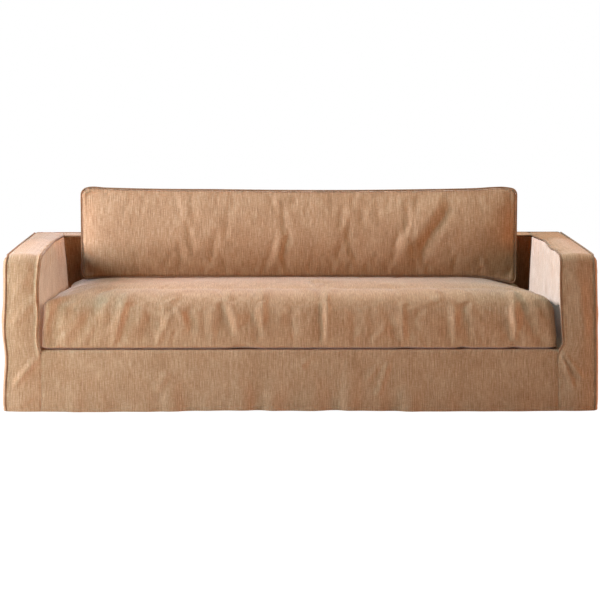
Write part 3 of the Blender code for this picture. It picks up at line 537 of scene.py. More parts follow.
# %% [markdown]
# ## The inside of the arms
#
# These panels are pulled tight at the top and lean in where they meet the low back. Their upper seam
# puckers, because the piping was stretched a little while it was sewn.

# %% Inside arm panels
INNER_CORNER = (  # How far the panel leans in at its rear. Columns: height, left arm, right arm
    (0.240, 0.023, 0.012), (0.380, 0.020, 0.011), (0.500, 0.013, 0.007), (0.580, 0.005, 0.003),
    (0.612, 0.000, 0.000),
)
# Small folds below the inner top seam. Columns: depth at the seam, depth lower down, half width, height
PUCKERS = (
    (-0.43, -0.40, 0.010, 0.0030), (-0.33, -0.34, 0.009, -0.0030), (-0.27, -0.25, 0.011, 0.0035),
    (-0.16, -0.18, 0.010, -0.0030), (-0.10, -0.07, 0.012, 0.0040), (0.02, 0.00, 0.010, -0.0035),
    (0.08, 0.11, 0.012, 0.0040), (0.19, 0.17, 0.010, -0.0035), (0.24, 0.27, 0.012, 0.0035),
)
PUCKER_TOP, PUCKER_FOOT = 0.606, 0.530
DECK_EDGE = DECK_TOP + 0.0005


def inner_rear_x(side, z):
    """Where an inside arm panel stands at its rear edge."""
    lean = smooth_read(INNER_CORNER, z, column_of(side))
    return arm_x(side, "inner", run_at(BACK_FRONT_Y)) - lean


def inner_foot_x(side, y):
    """Where an inside arm panel stands on the deck."""
    return mix(arm_x(side, "inner", DECK_EDGE), inner_rear_x(side, DECK_EDGE), ease((y + 0.05) / 0.40))


def inside_arm(side):
    """Grid of the panel between an arm's inner piping and the deck."""
    front_runs = np.concatenate([np.linspace(DECK_EDGE, ROLL_MIDDLE - 0.008, 46), ROLL_ROWS])
    rear_y = BACK_FRONT_Y + CLOTH / 2
    top_runs = ROLL_MIDDLE + spaced(run_at(rear_y) - ROLL_MIDDLE, 0.009)
    front = seam_points(side, "inner", front_runs, SEAM_INSET)
    top = seam_points(side, "inner", top_runs, SEAM_INSET)
    share = (front_runs - DECK_EDGE) / (ROLL_MIDDLE - DECK_EDGE)
    rear_z = mix(DECK_EDGE, ARM_HEIGHT - SEAM_INSET, share)
    rear = np.column_stack([side * inner_rear_x(side, rear_z), np.full_like(rear_z, rear_y), rear_z])
    rear[-1] = top[-1]
    y = mix(front[0, 1], rear_y, (top[:, 1] - top[0, 1]) / (top[-1, 1] - top[0, 1]))
    bottom = np.column_stack([side * inner_foot_x(side, y), y, np.full_like(y, DECK_EDGE)])
    bottom[0], bottom[-1] = front[0], rear[0]
    grid = stretch(bottom, top, front, rear)
    y, z = grid[..., 1], grid[..., 2]
    from_seam = np.minimum(y - FRONT_Y, ARM_HEIGHT - z)
    folds = [(at, PUCKER_TOP, foot, PUCKER_FOOT, width, height) for at, foot, width, height in PUCKERS]
    relief = (washed(y, z, 30.0 + side) * 0.6 + fold_height(y, z, folds)) * ease(from_seam / 0.015)
    return push_out(grid, relief + seam_dip(from_seam), (-side, 0, 0))


for side, name in ((-1, "left"), (1, "right")):
    make_cloth(f"inner_panel_{name}", inside_arm(side), (-side, 0, 0), f"inside_arm_{name}")

# %% [markdown]
# ## The low back
#
# The front face of the low back hides behind the back cushion and shows only in the two gaps beside it. A
# flat strip closes its top, and the rear panel hangs behind it to the floor.

# %% Panels of the low back
LOW_BACK_EDGE = (  # The front top edge. Columns: place across, shift to the rear, drop
    (-0.99, 0.000, 0.000), (-0.60, 0.005, 0.002), (-0.20, -0.003, 0.004), (0.25, 0.003, 0.003),
    (0.65, -0.003, 0.002), (0.99, 0.000, 0.000),
)
CORNER_FILLET = 0.016  # the cloth rounds the inner corner between the low back and an arm
BACK_BAND_CROWN = 0.004


def low_back_edge(x):
    """(y, z) of the front top edge of the low back."""
    return BACK_FRONT_Y + smooth_read(LOW_BACK_EDGE, x, 1), ARM_HEIGHT - smooth_read(LOW_BACK_EDGE, x, 2)


def inside_back():
    """Grid of the low back's front face, between the two inside arm panels."""
    share = spaced(2.0, 0.010) / 2.0
    up = np.concatenate([np.linspace(0, 0.97, 34), [0.98, 0.99, 1.0]])
    v, u = np.meshgrid(up, share, indexing="ij")
    left = -(inner_rear_x(-1, mix(DECK_EDGE, ARM_HEIGHT, up)) - CLOTH / 2)
    right = inner_rear_x(1, mix(DECK_EDGE, ARM_HEIGHT, up)) - CLOTH / 2
    x = mix(left[:, None], right[:, None], u)
    y, edge_z = low_back_edge(x)
    z = mix(DECK_EDGE, edge_z - SEAM_INSET, v)
    from_side = np.minimum(x - left[:, None], right[:, None] - x)
    into = np.clip(CORNER_FILLET - from_side, 0, CORNER_FILLET)
    y = y - (CORNER_FILLET - np.sqrt(CORNER_FILLET**2 - into**2)) * ease((ARM_HEIGHT - z) / 0.03)
    relief = washed(x, z, 41.0) * ease(from_side / 0.03) + seam_dip(edge_z - z)
    return push_out(np.stack([x, y, z], axis=2), relief, (0, -1, 0))


def back_band():
    """Grid of the top strip of the low back, between the inner piping and the rear piping."""
    share = spaced(2.0, 0.010) / 2.0
    depth = spaced(BACK_THICKNESS, 0.009) / BACK_THICKNESS
    v, u = np.meshgrid(depth, share, indexing="ij")
    runs = run_at(mix(BACK_FRONT_Y, HALF_DEPTH, v))
    x = mix(-arm_x(-1, "inner", runs), arm_x(1, "inner", runs), u)
    edge_y, edge_z = low_back_edge(x)
    y = mix(edge_y + SEAM_INSET, HALF_DEPTH - SEAM_INSET, v)
    z = mix(edge_z, ARM_HEIGHT, v)
    from_seam = np.minimum(v, 1 - v) * BACK_THICKNESS
    from_side = np.minimum(u, 1 - u) * 2 * INNER_X
    relief = BACK_BAND_CROWN * bump(2 * v - 1, 1.0) * ease(from_side / 0.05)
    relief += washed(x, y, 43.0) * ease(from_seam / 0.02) + seam_dip(np.minimum(from_seam, from_side))
    return push_out(np.stack([x, y, z], axis=2), relief, (0, 0, 1))


make_cloth("low_back_face", inside_back(), (0, -1, 0), "inside_back")
make_cloth("low_back_strip", back_band(), (0, 0, 1), "back_band")

# %% [markdown]
# ## The rear panel
#
# The photographer never shows it, so it is finished like the sides: piped all round, with soft flutes to
# the hem.

# %% Rear panel
REAR_FLUTES = (  # Columns: place across, half width, height outwards, reach upwards
    (-0.95, 0.11, 0.006, 0.24), (-0.74, 0.11, -0.006, 0.20), (-0.50, 0.12, 0.007, 0.30),
    (-0.24, 0.11, -0.006, 0.22), (0.02, 0.12, 0.007, 0.28), (0.28, 0.12, -0.006, 0.20),
    (0.52, 0.11, 0.006, 0.30), (0.76, 0.12, -0.007, 0.22), (0.97, 0.09, 0.006, 0.26),
)
REAR_FOLDS = (
    (-1.09, 0.56, -0.92, 0.38, 0.026, 0.0035), (1.09, 0.57, 0.90, 0.42, 0.026, 0.0035),
    (-0.42, 0.595, -0.38, 0.48, 0.020, 0.0025), (0.33, 0.595, 0.36, 0.47, 0.020, 0.0025),
    (-0.10, 0.46, 0.16, 0.40, 0.040, 0.0020), (0.62, 0.40, 0.70, 0.28, 0.030, 0.0025),
)
REAR_CORNER = 0.014  # radius at each upper corner of the rear panel
REAR_BILLOW = 0.004


def rear_seam(count):
    """The rear panel's piping on the left and on the right, each from the floor up and round its corner."""
    top_z = ARM_HEIGHT - REAR_CORNER
    sides = {}
    for side in (-1, 1):
        z = np.linspace(0, top_z, count)
        corner_x = HALF_WIDTH + smooth_read(REAR_EDGE, ARM_HEIGHT, column_of(side)) - REAR_CORNER
        x = HALF_WIDTH + smooth_read(REAR_EDGE, z, column_of(side))
        turn = np.radians([22.5, 45.0, 67.5, 90.0])
        x = np.concatenate([x, corner_x + REAR_CORNER * np.cos(turn)])
        z = np.concatenate([z, top_z + REAR_CORNER * np.sin(turn)])
        sides[side] = np.column_stack([side * x, np.full_like(x, HALF_DEPTH), z])
    return sides[-1], sides[1]


def outside_back():
    """Grid of the rear panel, between its piping and its hem."""
    left, right = rear_seam(74)
    middle = len(left) - 3  # the grid's upper corners sit halfway round the piping's corners
    first, last = left[:middle + 1].copy(), right[:middle + 1].copy()
    across = np.linspace(left[-1, 0], right[-1, 0], 230)
    level = np.column_stack([across, np.full_like(across, HALF_DEPTH), np.full_like(across, ARM_HEIGHT)])
    top = np.vstack([left[middle:-1], level, right[middle:-1][::-1]])
    first[:, 0] += SEAM_INSET
    last[:, 0] -= SEAM_INSET
    top[:, 2] -= SEAM_INSET
    top[0], top[-1] = first[-1], last[-1]
    first[0, 2] = smooth_read(REAR_HEM, first[0, 0])
    last[0, 2] = smooth_read(REAR_HEM, last[0, 0])
    sideways = (top[:, 0] - top[0, 0]) / (top[-1, 0] - top[0, 0])
    bottom = mix(first[0], last[0], sideways[:, None])
    bottom[1:-1, 2] = smooth_read(REAR_HEM, bottom[1:-1, 0])
    grid = stretch(bottom, top, first, last)
    x, z = grid[..., 0], grid[..., 2]
    from_seam = np.minimum(HALF_WIDTH - np.abs(x), ARM_HEIGHT - z)
    relief = REAR_BILLOW + flute_height(x, z, REAR_FLUTES) + fold_height(x, z, REAR_FOLDS)
    relief += washed(x, z, 51.0)
    stand_out = relief * ease(from_seam / 0.06) + seam_dip(from_seam) + hem_relief(z)
    return push_out(grid, stand_out, (0, 1, 0))


make_cloth("rear_panel", outside_back(), (0, 1, 0), "outside_back")

# %% [markdown]
# ## The base front and the deck
#
# The base front runs from one plain seam to the other. It rolls over at the top into the flat deck that
# the seat cushion lies on. Its hem is fluted, most on the left half, where the cloth is looser.

# %% Base front and deck
FRONT_FLUTES = (  # Columns: place across, half width, height outwards, reach upwards
    (-0.877, 0.050, 0.006, 0.14), (-0.710, 0.075, -0.006, 0.12), (-0.600, 0.045, 0.004, 0.16),
    (-0.505, 0.045, 0.006, 0.19), (-0.427, 0.060, -0.007, 0.12), (-0.233, 0.050, 0.007, 0.22),
    (-0.164, 0.045, -0.007, 0.13), (-0.112, 0.035, 0.005, 0.16), (-0.032, 0.055, -0.006, 0.16),
    (0.050, 0.045, 0.004, 0.20), (0.127, 0.050, -0.008, 0.15), (0.193, 0.045, 0.007, 0.26),
    (0.360, 0.055, -0.009, 0.13), (0.430, 0.045, 0.007, 0.12), (0.640, 0.080, -0.004, 0.10),
    (0.850, 0.070, 0.004, 0.14),
)
DECK_MIDDLE = DECK_TOP - CLOTH / 2


def front_skirt():
    """Grid of the base front with its rolled upper edge."""
    roll_z, roll_y = DECK_MIDDLE - SKIRT_ROLL, FRONT_Y + SKIRT_ROLL
    upright = np.concatenate([HEM_ROWS, np.linspace(ROWS_FROM, roll_z, 30)])
    turn = np.radians([15, 30, 45, 60, 75, 90])
    heights = np.concatenate([upright, roll_z + SKIRT_ROLL * np.sin(turn), [DECK_MIDDLE, DECK_MIDDLE]])
    rolled = FRONT_Y + SKIRT_ROLL * (1 - np.cos(turn))
    depths = np.concatenate([np.full_like(upright, FRONT_Y), rolled, [roll_y + 0.02, roll_y + 0.04]])
    share = spaced(2 * INNER_X, 0.008) / (2 * INNER_X)
    row, u = np.meshgrid(np.arange(len(heights)), share, indexing="ij")
    z, y = heights[row], depths[row]
    edge = np.where(z <= SEAM_TOP, 0.0002, SEAM_INSET)
    left, right = -(arm_x(-1, "inner", z) - edge), arm_x(1, "inner", z) - edge
    x = mix(left, right, u)
    from_side = np.minimum(x - left, right - x)
    on_face = ease((SEAM_TOP + 0.015 - z) / 0.06)
    relief = flute_height(x, z, FRONT_FLUTES) + fold_height(x, z, FRONT_FOLDS) * on_face
    relief = relief * ease(from_side / 0.05)
    relief += washed(x, z, 61.0) * ease(from_side / 0.02) * ease((0.24 - z) / 0.02)
    grid = np.stack([x, y, lifted(z, x)], axis=2)
    return push_out(grid, relief + 0.6 * seam_dip(from_side) + hem_relief(z), (0, -1, 0.2))


def deck():
    """Grid of the flat panel under the seat cushion, up to the low back."""
    y = np.linspace(FRONT_Y + SKIRT_ROLL + 0.041, BACK_FRONT_Y + CLOTH, 60)
    left, right = -inner_foot_x(-1, y), inner_foot_x(1, y)
    x = mix(left[:, None], right[:, None], np.linspace(0, 1, 120)[None, :])
    y = np.broadcast_to(y[:, None], x.shape)
    return np.stack([x, y, np.full(x.shape, DECK_MIDDLE)], axis=2)


make_cloth("base_front", front_skirt(), (0, -1, 0.2), "front_skirt")
make_cloth("deck_panel", deck(), (0, 0, 1), "deck")

# %% [markdown]
# ## Piping
#
# Piping is a cord wrapped in a bias strip of the same linen and caught in the seam. We sweep a ring of
# points along the seam. Its thickness varies by a few hundredths, because a sewn cord is never even, and
# at a loose end it tapers and dives into the seam.

# %% Tubes along the seams
PIPE_SIDES = 12
PIPE_STEP = 0.006


def even_steps(points, closed, step=PIPE_STEP):
    """The same line with points at even steps."""
    points = np.asarray(points, float)
    if closed:
        points = np.vstack([points, points[:1]])
    length = np.concatenate([[0.0], np.cumsum(np.linalg.norm(np.diff(points, axis=0), axis=1))])
    at = np.linspace(0, length[-1], round(length[-1] / step) + 1)
    return np.column_stack([np.interp(at, length, points[:, k]) for k in range(3)]), at


def tube(name, points, node, closed=False, seed=0.0, tapers=True):
    """A piping through the points, with a UV map in metres along and round it."""
    line, along = even_steps(points, closed)
    if closed:
        ahead = np.roll(line[:-1], -1, axis=0) - np.roll(line[:-1], 1, axis=0)
        ahead = np.vstack([ahead, ahead[:1]])
    else:
        ahead = np.gradient(line, axis=0)
    ahead /= np.linalg.norm(ahead, axis=1, keepdims=True)
    reference = np.where(np.abs(ahead[:, 1:2]) < 0.9, [[0.0, 1.0, 0.0]], [[0.0, 0.0, 1.0]])
    first = np.cross(ahead, reference)
    first /= np.linalg.norm(first, axis=1, keepdims=True)
    # Each ring is carried on from the one before it, so that the tube doesn't twist.
    for i in range(1, len(first)):
        first[i] = first[i - 1] - ahead[i] * (first[i - 1] @ ahead[i])
        first[i] /= np.linalg.norm(first[i])
    second = np.cross(ahead, first)
    radius = PIPE_RADIUS * (1 + 0.07 * crumple(along, np.full_like(along, seed), 0.018, 1.0, seed))
    if tapers and not closed:
        radius *= mix(0.35, 1.0, ease(np.minimum(along, along[-1] - along) / 0.010))
    angle = np.linspace(0, 2 * math.pi, PIPE_SIDES + 1)
    ring = np.cos(angle)[None, :, None] * first[:, None] + np.sin(angle)[None, :, None] * second[:, None]
    grid = line[:, None] + ring * radius[:, None, None]
    if closed:
        grid[-1] = grid[0]
    piece, column, row = new_grid(name, PIPE_SIDES, len(line) - 1)
    place_points(piece.data, grid[row, column])
    write_uv(piece.data, column * 2 * math.pi * PIPE_RADIUS / PIPE_SIDES, along[row])
    bpy.ops.object.mode_set(mode="EDIT")
    bpy.ops.mesh.select_all(action="SELECT")
    bpy.ops.mesh.remove_doubles(threshold=1e-5)
    if not closed:
        bpy.ops.mesh.select_all(action="SELECT")
        bpy.ops.mesh.region_to_loop()
        bpy.ops.mesh.fill_holes(sides=0)
    bpy.ops.mesh.select_all(action="SELECT")
    bpy.ops.mesh.normals_make_consistent(inside=False)
    bpy.ops.object.mode_set(mode="OBJECT")
    piece.data.shade_smooth()
    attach(piece, "root")
    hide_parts(node)
    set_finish(piece, "piping_linen")
    print(f"{name}: {along[-1]:.2f} m, {len(piece.data.polygons)} faces")
    return piece


# %% Piping of the body cover
for side, name in ((-1, "left"), (1, "right")):
    runs = np.linspace(0.002, RUN_END - 0.004, 400)
    y, z, _, _ = arm_path(runs)
    x = side * arm_x(side, "outer", runs)
    points = np.column_stack([x, y, np.where(runs < FRONT_TOP, lifted(z, x), z)])
    tube(f"piping_arm_{name}", points, f"piping_outer_{name}", seed=3.0 + side, tapers=False)

runs = np.linspace(PIPING_FOOT, run_at(BACK_FRONT_Y - 0.008), 360)
y, z, _, _ = arm_path(runs)
up_left = np.column_stack([-arm_x(-1, "inner", runs), y, z])
up_right = np.column_stack([arm_x(1, "inner", runs), y, z])
across = np.linspace(-INNER_X + 0.012, INNER_X - 0.012, 240)
level = np.column_stack([across, *low_back_edge(across)])
tube("piping_inner_seam", np.vstack([up_left, level, up_right[::-1]]), "piping_inner", seed=9.0)

left, right = rear_seam(90)
points = np.vstack([left, right[::-1]])
points[0, 2] = points[-1, 2] = 0.005
tube("piping_rear_seam", points, "piping_rear", seed=12.0, tapers=False)

# %% [markdown]
# ## Cushions start as boxes of cloth
#
# A cushion is sewn from flat panels, so we start with the six sides of a box, each a fine grid, and move
# every point to its place on the soft form. Then Blender's cloth simulation blows it up: the cloth is a
# little too large for its filling, so it buckles into small wrinkles between the sewn edges. We take over
# the wrinkles alone and keep the form that was measured.

# %% Six sides, sewn together
def sew_box(name, lines, shape):
    """A closed box with grid lines at the given places along x, y and z, each point moved by shape."""
    sides = []
    for axis in range(3):
        a, b = [k for k in range(3) if k != axis]
        for end in (0, -1):
            grid = np.empty((len(lines[b]), len(lines[a]), 3))
            grid[..., a], grid[..., b] = np.meshgrid(lines[a], lines[b])
            grid[..., axis] = lines[axis][end]
            outwards = np.zeros(3)
            outwards[axis] = -1.0 if end == 0 else 1.0
            flat = grid.copy()
            side = lay_grid(f"{name}_side", shape(grid.reshape(-1, 3)).reshape(grid.shape), outwards)
            rewrite_threads(side.data, flat, axis, end)
            sides.append(side)
    bpy.ops.object.select_all(action="DESELECT")
    for side in sides:
        side.select_set(True)
    bpy.context.view_layer.objects.active = sides[0]
    bpy.ops.object.join()
    cushion = bpy.context.object
    cushion.name = cushion.data.name = name
    bpy.ops.object.mode_set(mode="EDIT")
    bpy.ops.mesh.select_all(action="SELECT")
    bpy.ops.mesh.remove_doubles(threshold=1e-5)
    bpy.ops.mesh.normals_make_consistent(inside=False)
    bpy.ops.object.mode_set(mode="OBJECT")
    print(f"{name}: {len(cushion.data.polygons)} faces before it is blown up")
    return cushion


def rewrite_threads(mesh, flat, axis, end):
    """Thread coordinates of one side of a box: the warp runs up the front and back over the top.

    The other sides are cut a metre or more away on the cloth, so that their slubs differ.
    """
    x, y, z = flat[..., 0], flat[..., 1], flat[..., 2]
    if axis == 0:
        u, v = y + 3.0 * (1 if end else -1), z
    elif axis == 1:
        u, v = x, z if end == 0 else z + 1.7
    else:
        u, v = x, (z + y - flat[..., 1].min()) if end else y - 1.3
    write_uv(mesh, u.ravel(), v.ravel())


# %% Blow a cushion up
WRINKLE_ROUNDS = 30  # what is left after this much averaging is the form, not a wrinkle
FRAMES = 20  # time enough for the wrinkles to form


def smoothed(mesh, values, rounds):
    """Values of the mesh's vertices, each averaged with its neighbours a number of times."""
    ends = np.empty(len(mesh.edges) * 2, np.int32)
    mesh.edges.foreach_get("vertices", ends)
    a, b = ends.reshape(-1, 2).T
    count = len(mesh.vertices)
    neighbours = np.bincount(a, minlength=count) + np.bincount(b, minlength=count)
    for _ in range(rounds):
        total = [np.bincount(a, v[b], count) + np.bincount(b, v[a], count) for v in values.T]
        values = (values + np.column_stack(total)) / (1 + neighbours)[:, None]
    return values


def blow_up(cushion, pinned, slack, cap):
    """Runs the cloth simulation and takes over its wrinkles, each point kept within cap of its start."""
    start = coordinates(cushion.data)
    group = cushion.vertex_groups.new(name="sewn")
    group.add([int(i) for i in np.flatnonzero(pinned)], 1.0, "REPLACE")
    modifier = cushion.modifiers.new("Cloth", "CLOTH")
    cloth = modifier.settings
    cloth.quality = 5
    cloth.mass = 0.25
    cloth.tension_stiffness = cloth.compression_stiffness = 12
    cloth.shear_stiffness = 4
    cloth.bending_stiffness = 0.25
    cloth.use_pressure = True
    cloth.uniform_pressure_force = 4
    cloth.shrink_min = -slack
    cloth.vertex_group_mass = group.name
    cloth.effector_weights.gravity = 0
    modifier.collision_settings.use_collision = False
    for number in range(1, FRAMES + 1):
        bpy.context.scene.frame_set(number)
    blown = cushion.evaluated_get(bpy.context.evaluated_depsgraph_get())
    moved = coordinates(blown.data) - start
    moved -= smoothed(cushion.data, moved, WRINKLE_ROUNDS)
    cushion.modifiers.remove(modifier)
    cushion.vertex_groups.remove(group)
    bpy.context.scene.frame_set(1)
    length = np.linalg.norm(moved, axis=1, keepdims=True) + 1e-12
    moved *= cap * np.tanh(length / cap) / length
    mean, most = 1000 * length.mean(), 1000 * length.max()
    print(f"{cushion.name}: wrinkles of {mean:.1f} mm on average, {most:.1f} at most before the cap")
    return start + moved


def finish_cushion(cushion, places, node):
    """Moves a cushion's points to their places and makes it stand for a node of the measured model."""
    place_points(cushion.data, places)
    finish_with(cushion, "SUBSURF", levels=1, render_levels=1)
    cushion.data.shade_smooth()
    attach(cushion, "root")
    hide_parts(node)
    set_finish(cushion, "cushion_linen")
    print(f"{cushion.name}: {len(cushion.data.polygons)} faces")


# %% [markdown]
# ## The seat cushion
#
# It is one long bench cushion, softer at the front than a foam block. Its top falls away towards the arms
# and its front is gathered: some thirty wrinkles, each a row of the table, run down from the roll. The
# lower edge lifts off the deck in three places.

# %% Seat cushion: its form
SEAT_LOW, SEAT_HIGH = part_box("seat_cushion")
SEAT_HALF_LENGTH, SEAT_SHIFT = 0.994, -0.004
SEAT_FRONT, SEAT_REAR = -0.484, 0.338
SEAT_BOTTOM, SEAT_TOP = DECK_TOP + 0.0006, 0.456
SEAT_ROLL, SEAT_ROLL_AT_LEFT, SEAT_ROLL_AT_RIGHT, SEAT_EDGE = 0.085, 0.018, 0.036, 0.014
SEAT_CROWN, SEAT_WAIST, SEAT_END_BULGE = 0.012, 0.007, 0.010
SEAT_NARROWING = 0.031  # share of its length that the cushion loses towards the rear, where the arms lean in
# The seam that stands out along the lower front
WELT_AT, WELT_HALF_WIDTH, WELT_HEIGHT = 0.012, 0.0090, 0.0055
SEAT_END_DROP = (  # Columns: distance from the end, left front, left rear, right front, right rear
    (0.00, 0.024, 0.044, 0.030, 0.064), (0.03, 0.022, 0.034, 0.016, 0.052),
    (0.08, 0.015, 0.016, 0.007, 0.036), (0.13, 0.009, 0.006, 0.003, 0.020),
    (0.20, 0.003, 0.000, 0.001, 0.006), (0.28, 0.000, 0.000, 0.000, 0.000),
)
# Where the lower edge lifts off the deck. Columns: place across, half width, height
SEAT_LIFTS = ((-0.215, 0.090, 0.004), (0.640, 0.035, 0.004), (0.840, 0.040, 0.004), (0.42, 0.06, 0.002))
SEAT_FOLDS = (  # Columns: from across, up, to across, up, half width, height outwards
    (-0.905, 0.445, -0.900, 0.270, 0.040, 0.0060), (-0.862, 0.450, -0.866, 0.255, 0.030, 0.0050),
    (-0.795, 0.455, -0.800, 0.290, 0.035, -0.0060), (-0.765, 0.455, -0.770, 0.330, 0.035, 0.0050),
    (-0.680, 0.450, -0.725, 0.262, 0.024, 0.0060), (-0.595, 0.450, -0.570, 0.330, 0.026, -0.0080),
    (-0.560, 0.455, -0.540, 0.320, 0.024, -0.0080), (-0.495, 0.390, -0.565, 0.262, 0.022, 0.0080),
    (-0.480, 0.410, -0.430, 0.315, 0.024, 0.0070), (-0.430, 0.420, -0.420, 0.320, 0.030, -0.0060),
    (-0.375, 0.420, -0.365, 0.290, 0.026, -0.0060), (-0.315, 0.450, -0.262, 0.300, 0.026, -0.0090),
    (-0.280, 0.455, -0.240, 0.330, 0.026, 0.0070), (-0.205, 0.440, -0.155, 0.295, 0.026, -0.0090),
    (-0.150, 0.455, -0.145, 0.340, 0.028, 0.0050), (-0.035, 0.430, -0.030, 0.340, 0.038, -0.0080),
    (0.082, 0.460, 0.080, 0.290, 0.020, -0.0080), (0.105, 0.455, 0.103, 0.260, 0.018, 0.0080),
    (0.215, 0.430, 0.220, 0.320, 0.035, -0.0060), (0.335, 0.430, 0.350, 0.340, 0.035, -0.0060),
    (0.345, 0.345, 0.275, 0.262, 0.022, 0.0070), (0.402, 0.455, 0.404, 0.280, 0.018, 0.0050),
    (0.435, 0.400, 0.565, 0.470, 0.024, 0.0080), (0.470, 0.410, 0.450, 0.320, 0.030, -0.0060),
    (0.600, 0.455, 0.603, 0.270, 0.022, 0.0050), (0.665, 0.470, 0.615, 0.430, 0.024, 0.0070),
    (0.650, 0.440, 0.625, 0.330, 0.030, -0.0070), (0.838, 0.470, 0.840, 0.262, 0.024, 0.0110),
    (0.872, 0.450, 0.870, 0.330, 0.022, -0.0070), (0.925, 0.420, 0.930, 0.300, 0.022, 0.0060),
)


def seat_form(places):
    """Moves points of the seat cushion's box to the soft, wrinkled form."""
    x, y, z = places.T
    from_end = SEAT_HALF_LENGTH - np.abs(x)
    roll = mix(np.where(x < 0, SEAT_ROLL_AT_LEFT, SEAT_ROLL_AT_RIGHT), SEAT_ROLL, ease(from_end / 0.15))
    radius = mix(SEAT_EDGE, roll, ease((z - 0.258) / 0.112))
    core = np.column_stack([
        np.clip(x, radius - SEAT_HALF_LENGTH, SEAT_HALF_LENGTH - radius),
        np.clip(y, SEAT_FRONT + radius, SEAT_REAR - radius),
        np.clip(z, SEAT_BOTTOM + radius, SEAT_TOP - radius),
    ])
    outwards = places - core
    outwards /= np.linalg.norm(outwards, axis=1, keepdims=True) + 1e-12
    soft = core + outwards * radius[:, None]
    up = (soft[:, 2] - SEAT_BOTTOM) / (SEAT_TOP - SEAT_BOTTOM)
    waist = 4 * up * (1 - up)
    soft[:, 1] += outwards[:, 1] * SEAT_WAIST * waist
    soft[:, 0] += outwards[:, 0] * SEAT_END_BULGE * bump(up - 0.25, 0.50)
    crown = bump(y + 0.20, 0.29) * (1 - (x / SEAT_HALF_LENGTH) ** 4)
    soft[:, 2] += SEAT_CROWN * np.maximum(outwards[:, 2], 0) * crown
    to_rear = ease((y + 0.45) / 0.60)
    left = mix(smooth_read(SEAT_END_DROP, from_end, 1), smooth_read(SEAT_END_DROP, from_end, 2), to_rear)
    right = mix(smooth_read(SEAT_END_DROP, from_end, 3), smooth_read(SEAT_END_DROP, from_end, 4), to_rear)
    soft[:, 2] -= np.where(x < 0, left, right) * ease(up)
    soft[:, 0] *= 1 - SEAT_NARROWING * ease((y + 0.12) / 0.38)
    soft[:, 0] += SEAT_SHIFT
    at_front = ease((-0.28 - y) / 0.12) * ease((z - SEAT_BOTTOM) / 0.04)
    soft += outwards * (fold_height(x, np.minimum(z, SEAT_TOP), SEAT_FOLDS) * at_front)[:, None]
    welt = WELT_HEIGHT * bump(z - SEAT_BOTTOM - WELT_AT, WELT_HALF_WIDTH) * ease((-0.30 - y) / 0.1)
    soft += outwards * welt[:, None]
    lift = sum(height * bump(x - middle, half_width) for middle, half_width, height in SEAT_LIFTS)
    soft[:, 2] += lift * ease((-0.40 - y) / 0.06) * ease((0.33 - z) / 0.05)
    return soft


def line(*stops):
    """Places from stop to stop, given as place, step, place, step and so on."""
    parts = []
    for low, step, high in zip(stops[0:-2:2], stops[1:-1:2], stops[2::2]):
        parts.append(np.linspace(low, high, max(1, round((high - low) / step)), endpoint=False))
    return np.concatenate([*parts, [stops[-1]]])


seat_lines = (
    line(-SEAT_HALF_LENGTH, 0.010, -0.95, 0.012, 0.95, 0.010, SEAT_HALF_LENGTH),
    line(SEAT_FRONT, 0.010, -0.30, 0.018, SEAT_REAR),
    line(SEAT_BOTTOM, 0.0038, 0.262, 0.008, 0.29, 0.011, SEAT_TOP),
)
seat = sew_box("seat_cushion_linen", seat_lines, seat_form)
place = coordinates(seat.data)
sewn = (place[:, 2] < SEAT_BOTTOM + 0.012) | (place[:, 1] > 0.30)
place = blow_up(seat, sewn, slack=0.02, cap=0.008)
place[:, 0] = np.clip(place[:, 0], SEAT_LOW.x - 0.002, SEAT_HIGH.x + 0.002)
place[:, 2] = np.maximum(place[:, 2], SEAT_BOTTOM)
finish_cushion(seat, place, "seat_cushion")

# %% [markdown]
# ## The back cushion
#
# This one is boxed: a front and a rear panel with a strip between them, and piping in both seams. It
# leans on the low back, sags a little in the middle of its top edge, and a long soft fold crosses its
# right half.

# %% Back cushion: its form
BACK_HALF_LENGTH = 0.901
BACK_FRONT, BACK_REAR = 0.120, 0.338
BACK_BOTTOM, BACK_TOP = 0.4635, 0.822
BACK_CORNER = 0.020
BACK_CROWN, BACK_REAR_CROWN, BACK_REAR_DROP = 0.045, 0.004, 0.026
# The cloth swells up beside the front seam
BACK_SWELL, BACK_SWELL_AT, BACK_SWELL_HALF_WIDTH = 0.0045, 0.0100, 0.0095
BACK_BOXING_BULGE, BACK_UPPER_BULGE, BACK_LOWER_BULGE = 0.008, 0.002, 0.005
BACK_TOP_EDGE = (  # Columns: place across, height above the straight edge
    (-0.90, 0.004), (-0.86, 0.012), (-0.80, 0.008), (-0.60, 0.003), (-0.35, 0.001), (-0.10, -0.002),
    (0.20, -0.003), (0.50, 0.000), (0.72, 0.004), (0.84, 0.010), (0.90, 0.003),
)
BACK_LOWER_EDGE = (  # The same for the lower edge
    (-0.90, -0.008), (-0.82, -0.001), (-0.70, 0.000), (0.66, 0.000), (0.74, -0.002), (0.80, -0.008),
    (0.86, -0.020), (0.90, -0.030),
)
BACK_FOLDS = (
    (0.600, 0.790, 0.420, 0.560, 0.060, 0.0080), (0.640, 0.770, 0.490, 0.560, 0.050, -0.0090),
    (-0.068, 0.650, -0.095, 0.550, 0.028, 0.0050), (-0.690, 0.700, -0.480, 0.745, 0.080, -0.0040),
    (0.300, 0.700, 0.200, 0.560, 0.090, -0.0030),
)


